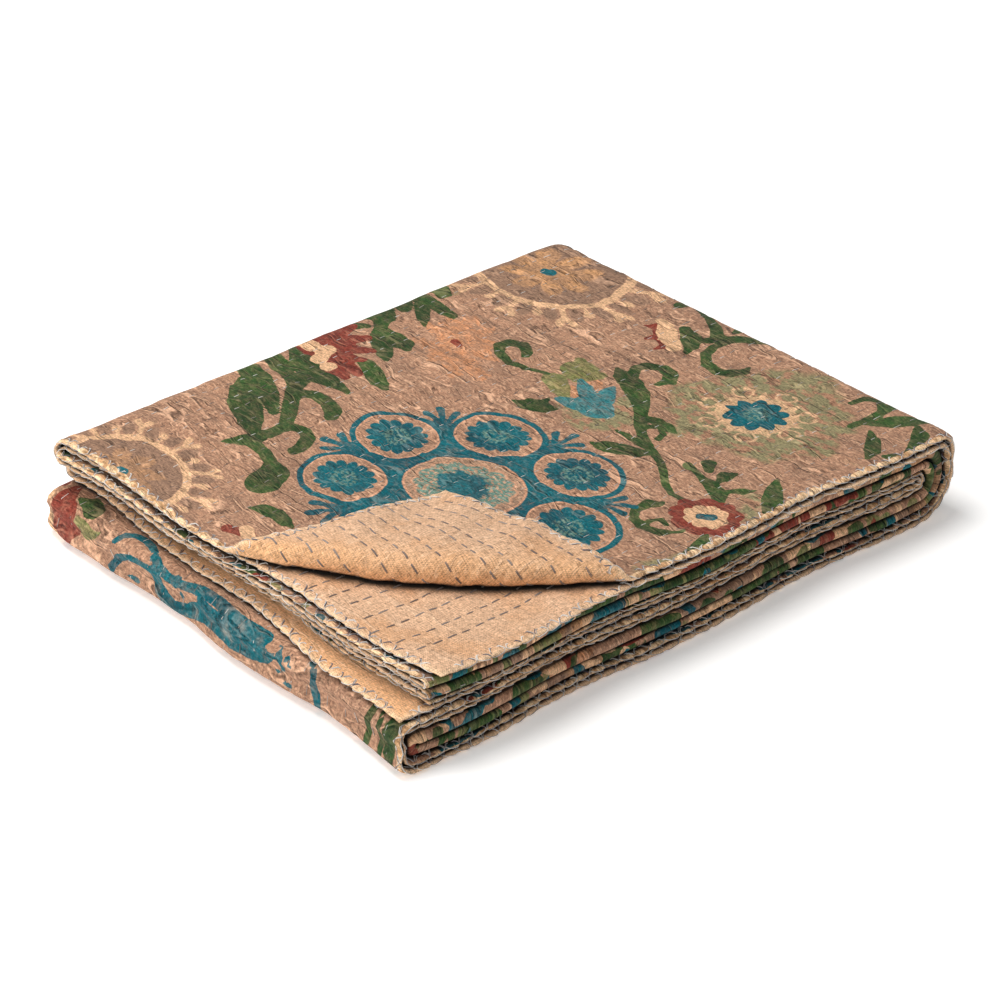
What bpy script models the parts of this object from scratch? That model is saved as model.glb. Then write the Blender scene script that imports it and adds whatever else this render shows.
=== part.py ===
"""Folded kantha quilt: a printed face cloth and a plain back cloth, sewn back to
back, folded in half four times, with one top corner turned over to show the back.

The quilt is laid out flat as a lattice in its own length u and width v. Two
paths, one across the width and one along the length, say where each point of
the lattice goes. Both are the path of a strip that is folded in half twice.
Metres, +Z up, the stack's underside on Z = 0.
"""

import math
from collections import namedtuple

import bmesh
import bpy
import numpy as np
from mathutils import Vector

# The quilt laid flat
QUILT_LENGTH = 1.555
QUILT_WIDTH = 1.250
CLOTH_THICKNESS = 0.0010
CLOTH_GAP = 0.0003
QUILT_THICKNESS = 2 * CLOTH_THICKNESS + CLOTH_GAP

# The stack: sixteen layers, in four passes of four
LAYER_PITCH = 0.00345
LAYERS_IN_PASS = 4
PASS_PITCH = LAYERS_IN_PASS * LAYER_PITCH
PASS_HALF_THICKNESS = 1.5 * LAYER_PITCH + QUILT_THICKNESS / 2
STACK_BASE = 7.5 * LAYER_PITCH + QUILT_THICKNESS / 2

# How far the edges at the left stand out past the top hem, at the back, middle and
# front of the stack, by layer; the left fold joins passes three and four
LeftReach = namedtuple("LeftReach", "back middle front")
FOLD_REACH = LeftReach(0.0170, 0.0245, 0.0320)
TOP_PASS_REACH = {
    "layer_1": LeftReach(0.0000, 0.0085, 0.0090),
    "layer_2": LeftReach(0.0000, 0.0040, 0.0050),
    "layers_3_4": LeftReach(0.0050, 0.0080, 0.0095),
}
SECOND_PASS_REACH = {
    "layer_1": LeftReach(0.0130, 0.0205, 0.0240),
    "layer_2": LeftReach(0.0090, 0.0140, 0.0165),
    "layers_3_4": LeftReach(0.0090, 0.0145, 0.0170),
}

# How far the edges at the front stand out, by pass
FrontReach = namedtuple("FrontReach", "layer_1 layer_2 layers_3_4")
FRONT_REACH = {
    "pass_1": FrontReach(0.0070, 0.0030, 0.0060),
    "pass_2": FrontReach(0.0020, 0.0030, 0.0060),
    "pass_3": FrontReach(0.0045, 0.0030, 0.0070),
    "pass_4": FrontReach(0.0080, 0.0065, 0.0060),
}
EDGE_WAVE = 0.0018
EDGE_WAVELENGTH = 0.142
LEFT_WAVE_TURN = 0.8
FRONT_WAVE_TURN = 1.3

# Where the reaches start and stop fading, as shares of the folded length and width
# from the middle of the stack
FADE_TO_RIGHT = (-0.13, 0.39)
FADE_TO_BACK = (0.00, 0.40)

# The corner that is turned over: its legs, and the soft roll of its crease
CORNER_ALONG_LENGTH = 0.138
CORNER_ALONG_WIDTH = 0.167
ROLL_RADIUS_MIDDLE = 0.0072
ROLL_RADIUS_END = 0.0030
CREASE_BOW = 0.012
BOW_REACH = 0.070
CORNER_REST_HEIGHT = 0.0046
CORNER_FALL_LENGTH = 0.085
CORNER_SKEW = 0.021
ROLL_CUTS = 12
CUTS_ALONG_CREASE = 8
CUT_MERGE = 0.0002

# The fold at the left is creased inwards at its middle, the wrap at the right is
# squarer at its top, and the stack is lower at its front right corner
DENT_DEPTH = 0.0055
DENT_HALF_HEIGHT = 0.0055
DENT_FADE = 0.030
WRAP_SQUARENESS = 0.5
CORNER_SLUMP = 0.10

# Lattice steps on each straight run and round each turn of the two paths, and the
# distances from the left ends of the passes at which the lattice has further lines
LENGTH_STEPS = {"run": 5, "outer_turn": 9, "near_turn": 8, "inner_turn": 6}
WIDTH_STEPS = {"run": 5, "outer_turn": 5, "near_turn": 4, "inner_turn": 3}
LINES_BY_FOLD = (0.012, 0.026)
LINES_BY_SECOND_HEM = (0.004, 0.008, 0.013, 0.030)

Run = namedtuple("Run", "start end height")
Turn = namedtuple("Turn", "centre height radius start sweep")
Station = namedtuple("Station", "along height normal_along normal_height progress")


def halved_twice(pitch, hem, near, far):
    """Path of a strip folded in half twice, hems at `near`, from its upper hem."""
    quarter = math.pi / 2
    half = math.pi
    return [
        Run(hem, far, 1.5 * pitch),
        Turn(far, 0.0, 1.5 * pitch, quarter, -half),
        Run(far, near, -1.5 * pitch),
        Turn(near, -pitch, 0.5 * pitch, -quarter, -half),
        Run(near, far, -0.5 * pitch),
        Turn(far, 0.0, 0.5 * pitch, -quarter, half),
        Run(far, hem, 0.5 * pitch),
    ]


def piece_length(piece):
    """Length of one run or turn of a path."""
    if isinstance(piece, Run):
        return abs(piece.end - piece.start)
    return piece.radius * abs(piece.sweep)


def station(path, distance):
    """Place and normal of the point that lies `distance` along a path."""
    for index, piece in enumerate(path):
        length = piece_length(piece)
        if distance <= length or index == len(path) - 1:
            break
        distance -= length
    share = distance / length
    if isinstance(piece, Run):
        along = piece.start + share * (piece.end - piece.start)
        upward = math.copysign(1.0, piece.end - piece.start)
        return Station(along, piece.height, 0.0, upward, index + share)
    angle = piece.start + share * piece.sweep
    outward = -math.copysign(1.0, piece.sweep)
    return Station(
        piece.centre + piece.radius * math.cos(angle),
        piece.height + piece.radius * math.sin(angle),
        outward * math.cos(angle),
        outward * math.sin(angle),
        index + share,
    )


def piece_starts(path):
    """Distances along a path at which its runs and turns start, and its whole length."""
    starts = [0.0]
    for piece in path:
        starts.append(starts[-1] + piece_length(piece))
    return starts


def lattice_lines(path, steps):
    """Distances along a path at which the lattice has its even lines."""
    kinds = ["run", "outer_turn", "run", "near_turn", "run", "inner_turn", "run"]
    starts = piece_starts(path)
    lines = [0.0]
    for index, kind in enumerate(kinds):
        length = starts[index + 1] - starts[index]
        for step in range(1, steps[kind] + 1):
            lines.append(starts[index] + length * step / steps[kind])
    return lines


def lengthwise_lines():
    """The lattice's lines along the quilt, closer by the left fold and the second hem."""
    _, _, _, fold_start, fold_end, _, _, hem = piece_starts(LENGTHWISE)
    lines = lattice_lines(LENGTHWISE, LENGTH_STEPS)
    lines += [fold_start - distance for distance in LINES_BY_FOLD]
    lines += [fold_end + distance for distance in LINES_BY_FOLD]
    lines += [hem - distance for distance in LINES_BY_SECOND_HEM]
    return sorted(lines)


def folded_size(flat_size, pitch, half_thickness, reach):
    """Size of a strip folded in half twice, from its flat size and its edges' reach."""
    turns = 2.5 * math.pi * pitch
    insets = 2 * (1.5 * pitch + half_thickness) + 2 * (2.0 * pitch + 2 * half_thickness)
    return (flat_size - turns + insets - reach) / 4


def path_of_size(size, pitch, half_thickness):
    """Path of a strip folded in half twice to one size, centred on its middle."""
    near = -size / 2 + 0.5 * pitch + half_thickness
    far = size / 2 - 1.5 * pitch - half_thickness
    return halved_twice(pitch, -size / 2, near, far)


BOTH_REACHES = 2 * FOLD_REACH.middle + SECOND_PASS_REACH["layers_3_4"].middle
FOLDED_LENGTH = folded_size(QUILT_LENGTH, PASS_PITCH, PASS_HALF_THICKNESS, BOTH_REACHES)
FOLDED_WIDTH = folded_size(QUILT_WIDTH, LAYER_PITCH, QUILT_THICKNESS / 2, 0.0)
LENGTHWISE = path_of_size(FOLDED_LENGTH, PASS_PITCH, PASS_HALF_THICKNESS)
ACROSS = path_of_size(FOLDED_WIDTH, LAYER_PITCH, QUILT_THICKNESS / 2)


def smooth(value):
    """Smooth step from 0 to 1."""
    value = min(max(value, 0.0), 1.0)
    return value * value * (3.0 - 2.0 * value)


def faded(share, fade):
    """One before a fade starts, and nothing past its end."""
    start, end = fade
    return smooth((end - share) / (end - start))


def by_layer(width_progress, reach):
    """Value for a point of a pass, from its values at layer 1, layers 3-4 and layer 2."""
    values = [reach["layer_1"], reach["layers_3_4"], reach["layers_3_4"], reach["layer_2"]]
    return float(np.interp(width_progress, [1, 2, 5, 6], values))


def reach_at(reach, y):
    """A left reach at a place across the stack, on a curve through its three values."""
    share = 2 * y / FOLDED_WIDTH
    slope = (reach.back - reach.front) / 2
    bend = (reach.back + reach.front) / 2 - reach.middle
    return reach.middle + slope * share + bend * share * share


def left_reach(y, length_progress, width_progress):
    """How far a point's left edge stands out past the top hem."""
    if 1 < length_progress < 6:
        return reach_at(FOLD_REACH, y)
    table = TOP_PASS_REACH if length_progress <= 1 else SECOND_PASS_REACH
    return by_layer(width_progress, {name: reach_at(reach, y) for name, reach in table.items()})


def front_reach(length_progress, width_progress):
    """How far a point's front edge stands out past the top hem."""
    order = ["pass_1", "pass_4", "pass_4", "pass_3", "pass_3", "pass_2"]
    rows = [by_layer(width_progress, FRONT_REACH[name]._asdict()) for name in order]
    return float(np.interp(length_progress, [1, 2, 3, 4, 5, 6], rows))


def uneven_edges(x, y, length_progress, width_progress):
    """Moves the left and front edges in and out, layer by layer, with a slow wave."""
    turn_x = LEFT_WAVE_TURN * length_progress
    wave_x = EDGE_WAVE * math.sin(2 * math.pi * y / EDGE_WAVELENGTH + turn_x)
    wave_y = EDGE_WAVE * math.sin(2 * math.pi * x / EDGE_WAVELENGTH + FRONT_WAVE_TURN)
    reach_x = left_reach(y, length_progress, width_progress) + wave_x
    reach_y = front_reach(length_progress, width_progress) + wave_y
    moved_x = x - reach_x * faded(x / FOLDED_LENGTH, FADE_TO_RIGHT)
    moved_y = y - reach_y * faded(y / FOLDED_WIDTH, FADE_TO_BACK)
    return moved_x, moved_y


def crease_frame():
    """Start, direction, length and outward side of the turned corner's crease."""
    corner = Vector((-FOLDED_LENGTH / 2, -FOLDED_WIDTH / 2))
    corner -= Vector((TOP_PASS_REACH["layer_1"].front, FRONT_REACH["pass_1"].layer_1))
    start = corner + Vector((0.0, CORNER_ALONG_WIDTH))
    end = corner + Vector((CORNER_ALONG_LENGTH, 0.0))
    direction = (end - start).normalized()
    outward = Vector((direction.y, -direction.x))
    if outward.dot(corner - start) < 0:
        outward = -outward
    return start, direction, (end - start).length, outward


CREASE_START, CREASE_DIRECTION, CREASE_LENGTH, CREASE_OUTWARD = crease_frame()


def turned_corner(x, y, height, offset):
    """Rolls what lies past the crease up and over, onto the top layer."""
    from_start = Vector((x, y)) - CREASE_START
    run = from_start.dot(CREASE_DIRECTION)
    beyond = from_start.dot(CREASE_OUTWARD)
    middle = math.sin(math.pi * min(max(run / CREASE_LENGTH, 0.0), 1.0))
    radius = ROLL_RADIUS_END + (ROLL_RADIUS_MIDDLE - ROLL_RADIUS_END) * middle
    bow = CREASE_BOW * middle * smooth(1.0 + beyond / BOW_REACH)
    if beyond <= 0:
        shifted = Vector((x, y)) + CREASE_OUTWARD * bow
        return Vector((shifted.x, shifted.y, height + offset))
    angle = min(beyond / radius, math.pi)
    laid_back = max(beyond - math.pi * radius, 0.0)
    fall = (2 * radius - CORNER_REST_HEIGHT) * smooth(laid_back / CORNER_FALL_LENGTH)
    out = bow + (radius - offset) * math.sin(angle) - laid_back
    rise = radius - (radius - offset) * math.cos(angle) - fall
    skew = CORNER_SKEW * (laid_back / CORNER_FALL_LENGTH) ** 2
    place = CREASE_START + CREASE_DIRECTION * (run - skew) + CREASE_OUTWARD * out
    return Vector((place.x, place.y, height + rise))


def drooped(point):
    """Lets what overhangs the left fold sink round it."""
    fold_edge = -FOLDED_LENGTH / 2 - reach_at(FOLD_REACH, point.y)
    overhang = fold_edge + 0.5 * PASS_PITCH + 1.5 * LAYER_PITCH - point.x
    above = point.z + PASS_PITCH
    if overhang <= 0 or above <= 4.0 * LAYER_PITCH:
        return point
    fallen = math.sqrt(max(above * above - overhang * overhang, 0.0))
    return Vector((point.x, point.y, fallen - PASS_PITCH))


def creased(point):
    """Presses the left fold inwards at its middle height."""
    edge = -FOLDED_LENGTH / 2 - reach_at(FOLD_REACH, point.y)
    level = (point.z + PASS_PITCH) / DENT_HALF_HEIGHT
    depth = DENT_DEPTH * math.exp(-level * level)
    return Vector((point.x + depth * smooth(1.0 - (point.x - edge) / DENT_FADE), point.y, point.z))


def squared(point):
    """Makes the round wrap at the right squarer in its upper half."""
    centre = LENGTHWISE[1].centre
    radius = 1.5 * PASS_PITCH + PASS_HALF_THICKNESS
    out = max((point.x - centre) / radius, 0.0)
    up = max(point.z / radius, 0.0)
    spread_x = out * radius * WRAP_SQUARENESS * up * up
    spread_z = up * radius * WRAP_SQUARENESS * out * out
    return Vector((point.x + spread_x, point.y, point.z + spread_z))


def slumped(point):
    """Sets the stack on Z = 0 and lowers it towards its front right corner."""
    to_right = 0.5 + point.x / FOLDED_LENGTH
    to_front = 0.5 - point.y / FOLDED_WIDTH
    height = (point.z + STACK_BASE) * (1.0 - CORNER_SLUMP * to_right * to_front)
    return Vector((point.x, point.y, height))


def folded_point(u, v, offset):
    """Where the point (u, v) of the quilt lies once folded, `offset` to its printed side."""
    column = station(LENGTHWISE, u)
    row = station(ACROSS, v)
    x, y = uneven_edges(column.along, row.along, column.progress, row.progress)
    if column.progress <= 1 and row.progress <= 1:
        point = turned_corner(x, y, column.height + row.height, offset)
    else:
        height = row.height + offset * row.normal_height
        point = Vector((
            x + column.normal_along * height,
            y + offset * row.normal_along,
            column.height + column.normal_height * height,
        ))
    return slumped(squared(creased(drooped(point))))


def crease_cuts():
    """Lines of the flat lattice that run beside the crease and across it, as (place, normal)."""
    corner_width = Vector((0.0, CORNER_ALONG_WIDTH, 0.0))
    direction = Vector((CORNER_ALONG_LENGTH, -CORNER_ALONG_WIDTH, 0.0)).normalized()
    outward = Vector((direction.y, -direction.x, 0.0))
    roll_length = math.pi * ROLL_RADIUS_MIDDLE
    cuts = [(corner_width - outward * BOW_REACH * step / 3, outward) for step in (1, 2)]
    for step in range(ROLL_CUTS + 1):
        cuts.append((corner_width + outward * roll_length * step / ROLL_CUTS, outward))
    for step in range(1, CUTS_ALONG_CREASE):
        place = corner_width + direction * CREASE_LENGTH * step / CUTS_ALONG_CREASE
        cuts.append((place, direction))
    return cuts


def cut_corner(lattice, place, normal):
    """Cuts the faces near the turned corner along one line."""
    reach = max(CORNER_ALONG_LENGTH, CORNER_ALONG_WIDTH) + BOW_REACH / 2
    near = [f for f in lattice.faces if max(f.calc_center_median().xy) < reach]
    edges = {edge for face in near for edge in face.edges}
    verts = {vert for face in near for vert in face.verts}
    bmesh.ops.bisect_plane(
        lattice,
        geom=list(verts) + list(edges) + near,
        dist=CUT_MERGE,
        plane_co=place,
        plane_no=normal,
    )


def flat_lattice():
    """The quilt laid flat, as a triangulated lattice with its finer corner."""
    lattice = bmesh.new()
    columns = lengthwise_lines()
    rows = lattice_lines(ACROSS, WIDTH_STEPS)
    grid = [[lattice.verts.new((u, v, 0.0)) for v in rows] for u in columns]
    for i in range(len(columns) - 1):
        for j in range(len(rows) - 1):
            lattice.faces.new((grid[i][j], grid[i + 1][j], grid[i + 1][j + 1], grid[i][j + 1]))
    for place, normal in crease_cuts():
        cut_corner(lattice, place, normal)
    bmesh.ops.triangulate(lattice, faces=lattice.faces[:])
    return lattice


def folded_cloth(name, inner_offset, outer_offset, colour):
    """One cloth of the folded quilt, between two offsets from its middle, as a closed solid."""
    lattice = flat_lattice()
    flat = [vert.co.copy() for vert in lattice.verts]
    lattice.verts.index_update()
    solid = bmesh.new()
    outer = [solid.verts.new(folded_point(p.x, p.y, outer_offset)) for p in flat]
    inner = [solid.verts.new(folded_point(p.x, p.y, inner_offset)) for p in flat]
    for face in lattice.faces:
        order = [vert.index for vert in face.verts]
        solid.faces.new([outer[k] for k in order])
        solid.faces.new([inner[k] for k in reversed(order)])
    for edge in lattice.edges:
        if edge.is_boundary:
            loop = edge.link_loops[0]
            first, second = loop.vert.index, loop.link_loop_next.vert.index
            solid.faces.new((outer[second], outer[first], inner[first]))
            solid.faces.new((outer[second], inner[first], inner[second]))
    lattice.free()
    mesh = bpy.data.meshes.new(name)
    solid.to_mesh(mesh)
    solid.free()
    cloth = bpy.data.objects.new(name, mesh)
    cloth.data.materials.append(cloth_material(name, colour))
    bpy.context.scene.collection.objects.link(cloth)
    return cloth


def cloth_material(name, colour):
    """Matt cotton of one colour."""
    material = bpy.data.materials.new(name)
    material.use_nodes = True
    shader = material.node_tree.nodes["Principled BSDF"]
    shader.inputs["Base Color"].default_value = (*colour, 1.0)
    shader.inputs["Roughness"].default_value = 0.9
    shader.inputs["Metallic"].default_value = 0.0
    return material


def centre_on_origin(cloths):
    """Moves the meshes so that the origin is at the bottom centre of their box."""
    points = [vert.co for cloth in cloths for vert in cloth.data.vertices]
    for axis in (0, 1):
        lowest = min(point[axis] for point in points)
        highest = max(point[axis] for point in points)
        for point in points:
            point[axis] -= (lowest + highest) / 2


def build():
    """The folded quilt: its printed face cloth and its plain back cloth."""
    for old in list(bpy.data.objects):
        bpy.data.objects.remove(old, do_unlink=True)
    half_gap = CLOTH_GAP / 2
    face = folded_cloth("printed_face", half_gap, half_gap + CLOTH_THICKNESS, (0.38, 0.24, 0.16))
    back = folded_cloth("plain_back", -half_gap - CLOTH_THICKNESS, -half_gap, (0.76, 0.50, 0.25))
    centre_on_origin([face, back])


build()
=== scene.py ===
import math

import bpy
import numpy as np
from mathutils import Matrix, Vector
from mathutils.bvhtree import BVHTree
from mathutils.geometry import delaunay_2d_cdt


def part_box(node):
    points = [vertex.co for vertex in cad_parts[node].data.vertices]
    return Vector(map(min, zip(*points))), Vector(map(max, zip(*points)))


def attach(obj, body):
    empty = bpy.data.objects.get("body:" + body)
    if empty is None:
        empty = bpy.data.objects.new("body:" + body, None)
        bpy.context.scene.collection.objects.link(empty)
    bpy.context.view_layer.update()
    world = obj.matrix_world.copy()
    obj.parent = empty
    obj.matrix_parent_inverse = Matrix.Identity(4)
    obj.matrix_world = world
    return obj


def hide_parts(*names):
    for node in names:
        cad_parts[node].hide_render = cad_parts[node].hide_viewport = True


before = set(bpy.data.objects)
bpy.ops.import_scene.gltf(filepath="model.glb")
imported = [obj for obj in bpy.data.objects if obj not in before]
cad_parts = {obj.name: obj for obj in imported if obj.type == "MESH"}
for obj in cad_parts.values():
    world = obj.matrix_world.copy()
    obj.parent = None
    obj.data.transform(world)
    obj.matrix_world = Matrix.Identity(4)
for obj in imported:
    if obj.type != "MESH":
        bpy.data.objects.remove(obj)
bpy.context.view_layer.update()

print("folded kantha quilt: frame loaded")


def addObject(name, data):
    piece = bpy.data.objects.new(name, data)
    bpy.context.scene.collection.objects.link(piece)
    return piece


def setValues(piece, name, values, kind="FLOAT", domain="POINT"):
    # keeps values with the points or corners of a piece, for its material to read
    label = "vector" if kind == "FLOAT_VECTOR" else "value"
    piece.data.attributes.new(name, kind, domain).data.foreach_set(label, values.astype(np.float32).ravel())


def getValues(items, label, width=1, kind=float):
    values = np.zeros(len(items) * width, kind)
    items.foreach_get(label, values)
    return values.reshape(-1, width) if width > 1 else values


# camera and light
studio = {
    "cameraTurn": -42.25, "cameraRise": 29.3, "cameraDistance": 2.07, "lookAt": (0, 0, 0.027),
    "lens": 134.7, "shift": (0.0095, -0.0185),
    "lights": [   # name, place, size, power, colour
        ("overheadSoftbox", (-0.15, 0.55, 1.9), 1.2, 27.5, (1.0, 0.985, 0.965)),
        ("leftSoftbox", (-1.55, 0.35, 0.95), 1.3, 16.5, (1.0, 0.975, 0.945)),
        ("frontFill", (-0.3, -1.6, 0.8), 1.2, 1.6, (0.96, 0.98, 1.0)),
    ],
    "ambient": 0.30,
}


def makeStudio():
    turn, rise = math.radians(studio["cameraTurn"]), math.radians(studio["cameraRise"])
    back = Vector((math.sin(turn) * math.cos(rise), -math.cos(turn) * math.cos(rise), math.sin(rise)))
    camera = addObject("camera", bpy.data.cameras.new("camera"))
    camera.data.lens, camera.data.sensor_width = studio["lens"], 36
    camera.data.shift_x, camera.data.shift_y = studio["shift"]
    camera.location = Vector(studio["lookAt"]) + back * studio["cameraDistance"]
    camera.rotation_euler = (-back).to_track_quat("-Z", "Y").to_euler()
    bpy.context.scene.camera = camera
    for name, place, size, power, colour in studio["lights"]:
        lamp = addObject(name, bpy.data.lights.new(name, "AREA"))
        lamp.data.shape = "DISK"
        lamp.data.size, lamp.data.energy, lamp.data.color = size, power, colour
        lamp.location = place
        lamp.rotation_euler = (-Vector(place)).to_track_quat("-Z", "Y").to_euler()
    world = bpy.data.worlds.new("paleRoom")
    world.use_nodes = True
    background = world.node_tree.nodes["Background"]
    background.inputs["Color"].default_value = (1, 1, 1, 1)
    background.inputs["Strength"].default_value = studio["ambient"]
    bpy.context.scene.world = world
    bpy.context.scene.view_settings.view_transform = "Standard"


makeStudio()

# the fold
quiltFold = {
    "length": 1.555, "width": 1.250,           # the quilt laid flat
    "layerPitch": 0.00345, "quiltThickness": 0.0023,
    # how far the left edges stand out past the top hem, at the back, middle and front
    "foldReach": (0.0170, 0.0245, 0.0320),
    "topReach": ((0.0, 0.0085, 0.0090), (0.0, 0.0040, 0.0050), (0.0050, 0.0080, 0.0095)),
    "secondReach": ((-0.0040, 0.0085, 0.0265), (-0.0060, -0.0005, 0.0085), (-0.0040, 0.0010, 0.0095)),
    "reachTaken": 0.0635,                      # how much of the length goes into the uneven edges
    # how far the front edges stand out, by pass: layer 1, layer 2, layers 3 and 4
    "frontReach": ((0.0070, 0.0088, 0.0060), (0.0020, 0.0030, 0.0060),
                   (0.0045, 0.0030, 0.0070), (0.0080, 0.0065, 0.0060)),
    "hemWander": (0.0009, 0.022), "backWander": (0.0008, 0.020),   # how far, over what length
    "edgeWave": 0.0018, "edgeWavelength": 0.142, "leftWaveTurn": 0.8, "frontWaveTurn": 1.3,
    "fadeToRight": (-0.13, 0.39), "fadeToBack": (0.0, 0.40),
    "dentDepth": 0.0055, "dentHalfHeight": 0.0055, "dentFade": 0.030,
    "wrapSquareness": 0.5, "cornerSlump": 0.10,
}
turnedCorner = {
    "alongLength": 0.144, "alongWidth": 0.167,
    "rollMiddle": 0.0072, "rollEnd": 0.0030, "bow": 0.018, "bowReach": 0.070,
    "restHeight": 0.0046, "fallLength": 0.085, "skew": 0.016,
    "hemLift": 0.0022, "hemLiftWave": 0.043,
}

layerPitch = quiltFold["layerPitch"]
passPitch = 4 * layerPitch
passHalfThickness = 1.5 * layerPitch + quiltFold["quiltThickness"] / 2
stackBase = 7.5 * layerPitch + quiltFold["quiltThickness"] / 2


def smooth(value):
    value = np.clip(value, 0.0, 1.0)
    return value * value * (3.0 - 2.0 * value)


def foldedSize(flatSize, pitch, halfThickness, reach):
    turns = 2.5 * math.pi * pitch
    insets = 2 * (1.5 * pitch + halfThickness) + 2 * (2.0 * pitch + 2 * halfThickness)
    return (flatSize - turns + insets - reach) / 4


def halvedTwice(size, pitch, halfThickness):
    # a strip folded in half twice: runs are (start, end, height), turns are (centre, height, radius, start, sweep)
    hem = -size / 2
    near = hem + 0.5 * pitch + halfThickness
    far = size / 2 - 1.5 * pitch - halfThickness
    quarter, half = math.pi / 2, math.pi
    return [
        (hem, far, 1.5 * pitch), (far, 0.0, 1.5 * pitch, quarter, -half),
        (far, near, -1.5 * pitch), (near, -pitch, 0.5 * pitch, -quarter, -half),
        (near, far, -0.5 * pitch), (far, 0.0, 0.5 * pitch, -quarter, half),
        (far, hem, 0.5 * pitch),
    ]


def pathStarts(path):
    lengths = [abs(p[1] - p[0]) if len(p) == 3 else p[2] * abs(p[4]) for p in path]
    return np.concatenate([[0.0], np.cumsum(lengths)])


def followPath(path, distance):
    starts = pathStarts(path)
    along, height, normalAlong, normalHeight, progress = (np.zeros_like(distance) for _ in range(5))
    which = np.clip(np.searchsorted(starts, distance, side="left") - 1, 0, len(path) - 1)
    for index, piece in enumerate(path):
        here = which == index
        share = (distance[here] - starts[index]) / (starts[index + 1] - starts[index])
        progress[here] = index + share
        if len(piece) == 3:
            along[here] = piece[0] + share * (piece[1] - piece[0])
            height[here] = piece[2]
            normalHeight[here] = math.copysign(1.0, piece[1] - piece[0])
        else:
            centre, level, radius, start, sweep = piece
            angle = start + share * sweep
            outward = -math.copysign(1.0, sweep)
            along[here] = centre + radius * np.cos(angle)
            height[here] = level + radius * np.sin(angle)
            normalAlong[here] = outward * np.cos(angle)
            normalHeight[here] = outward * np.sin(angle)
    return along, height, normalAlong, normalHeight, progress


foldedLength = foldedSize(quiltFold["length"], passPitch, passHalfThickness, quiltFold["reachTaken"])
foldedWidth = foldedSize(quiltFold["width"], layerPitch, quiltFold["quiltThickness"] / 2, 0.0)
lengthwise = halvedTwice(foldedLength, passPitch, passHalfThickness)
across = halvedTwice(foldedWidth, layerPitch, quiltFold["quiltThickness"] / 2)
lengthStarts = pathStarts(lengthwise)
widthStarts = pathStarts(across)
pathLength, pathWidth = lengthStarts[-1], widthStarts[-1]   # the reaches make up the rest of the flat size


def softNoise(x, y, seed):
    # smooth noise from -1 to 1, one cell to a unit
    grid = np.random.default_rng(seed).uniform(-1.0, 1.0, (128, 128))
    x, y = np.asarray(x, float), np.asarray(y, float)
    column, row = np.floor(x).astype(int), np.floor(y).astype(int)
    shareX, shareY = smooth(x - column), smooth(y - row)
    column, row, nextColumn, nextRow = column % 128, row % 128, (column + 1) % 128, (row + 1) % 128
    low = grid[column, row] * (1 - shareX) + grid[nextColumn, row] * shareX
    high = grid[column, nextRow] * (1 - shareX) + grid[nextColumn, nextRow] * shareX
    return low * (1 - shareY) + high * shareY


def reachAt(reach, y):
    back, middle, front = reach
    share = 2 * y / foldedWidth
    return middle + (back - front) / 2 * share + ((back + front) / 2 - middle) * share * share


def layerShares(widthProgress):
    return [np.interp(widthProgress, [1, 2, 5, 6], values) for values in ([1, 0, 0, 0], [0, 0, 0, 1], [0, 1, 1, 0])]


def unevenEdges(x, y, lengthProgress, widthProgress):
    shares = layerShares(widthProgress)
    top = sum(share * reachAt(reach, y) for share, reach in zip(shares, quiltFold["topReach"]))
    second = sum(share * reachAt(reach, y) for share, reach in zip(shares, quiltFold["secondReach"]))
    fold = reachAt(quiltFold["foldReach"], y)
    left = np.where(lengthProgress <= 1, top, np.where(lengthProgress >= 6, second, fold))
    front = 0.0
    for layer, share in enumerate(shares):
        passes = [quiltFold["frontReach"][index][layer] for index in (0, 3, 3, 2, 2, 1)]
        front = front + share * np.interp(lengthProgress, [1, 2, 3, 4, 5, 6], passes)
    wave = 2 * math.pi / quiltFold["edgeWavelength"]
    left = left + quiltFold["edgeWave"] * np.sin(wave * y + quiltFold["leftWaveTurn"] * lengthProgress)
    front = front + quiltFold["edgeWave"] * np.sin(wave * x + quiltFold["frontWaveTurn"])
    # the hems wander a little, each layer in its own way
    far, over = quiltFold["hemWander"]
    ownWay = lengthProgress * 2.3 + widthProgress * 1.7
    left, front = left + far * softNoise(y / over, ownWay, 11), front + far * softNoise(x / over, ownWay, 12)
    fadeX, fadeY = quiltFold["fadeToRight"], quiltFold["fadeToBack"]
    movedX = x - left * smooth((fadeX[1] - x / foldedLength) / (fadeX[1] - fadeX[0]))
    movedY = y - front * smooth((fadeY[1] - y / foldedWidth) / (fadeY[1] - fadeY[0]))
    far, over = quiltFold["backWander"]
    movedY = movedY + far * softNoise(x / over, lengthProgress * 1.9, 13) * smooth(y / foldedWidth * 8.0 - 3.0)
    return movedX, movedY


cornerPlace = -np.array([
    foldedLength / 2 + quiltFold["topReach"][0][2], foldedWidth / 2 + quiltFold["frontReach"][0][0]])
creaseStart = cornerPlace + np.array([0.0, turnedCorner["alongWidth"]])
creaseEnd = cornerPlace + np.array([turnedCorner["alongLength"], 0.0])
creaseLength = float(np.linalg.norm(creaseEnd - creaseStart))
creaseDirection = (creaseEnd - creaseStart) / creaseLength
creaseOutward = np.array([creaseDirection[1], -creaseDirection[0]])
if creaseOutward @ (cornerPlace - creaseStart) < 0:
    creaseOutward = -creaseOutward


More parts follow.
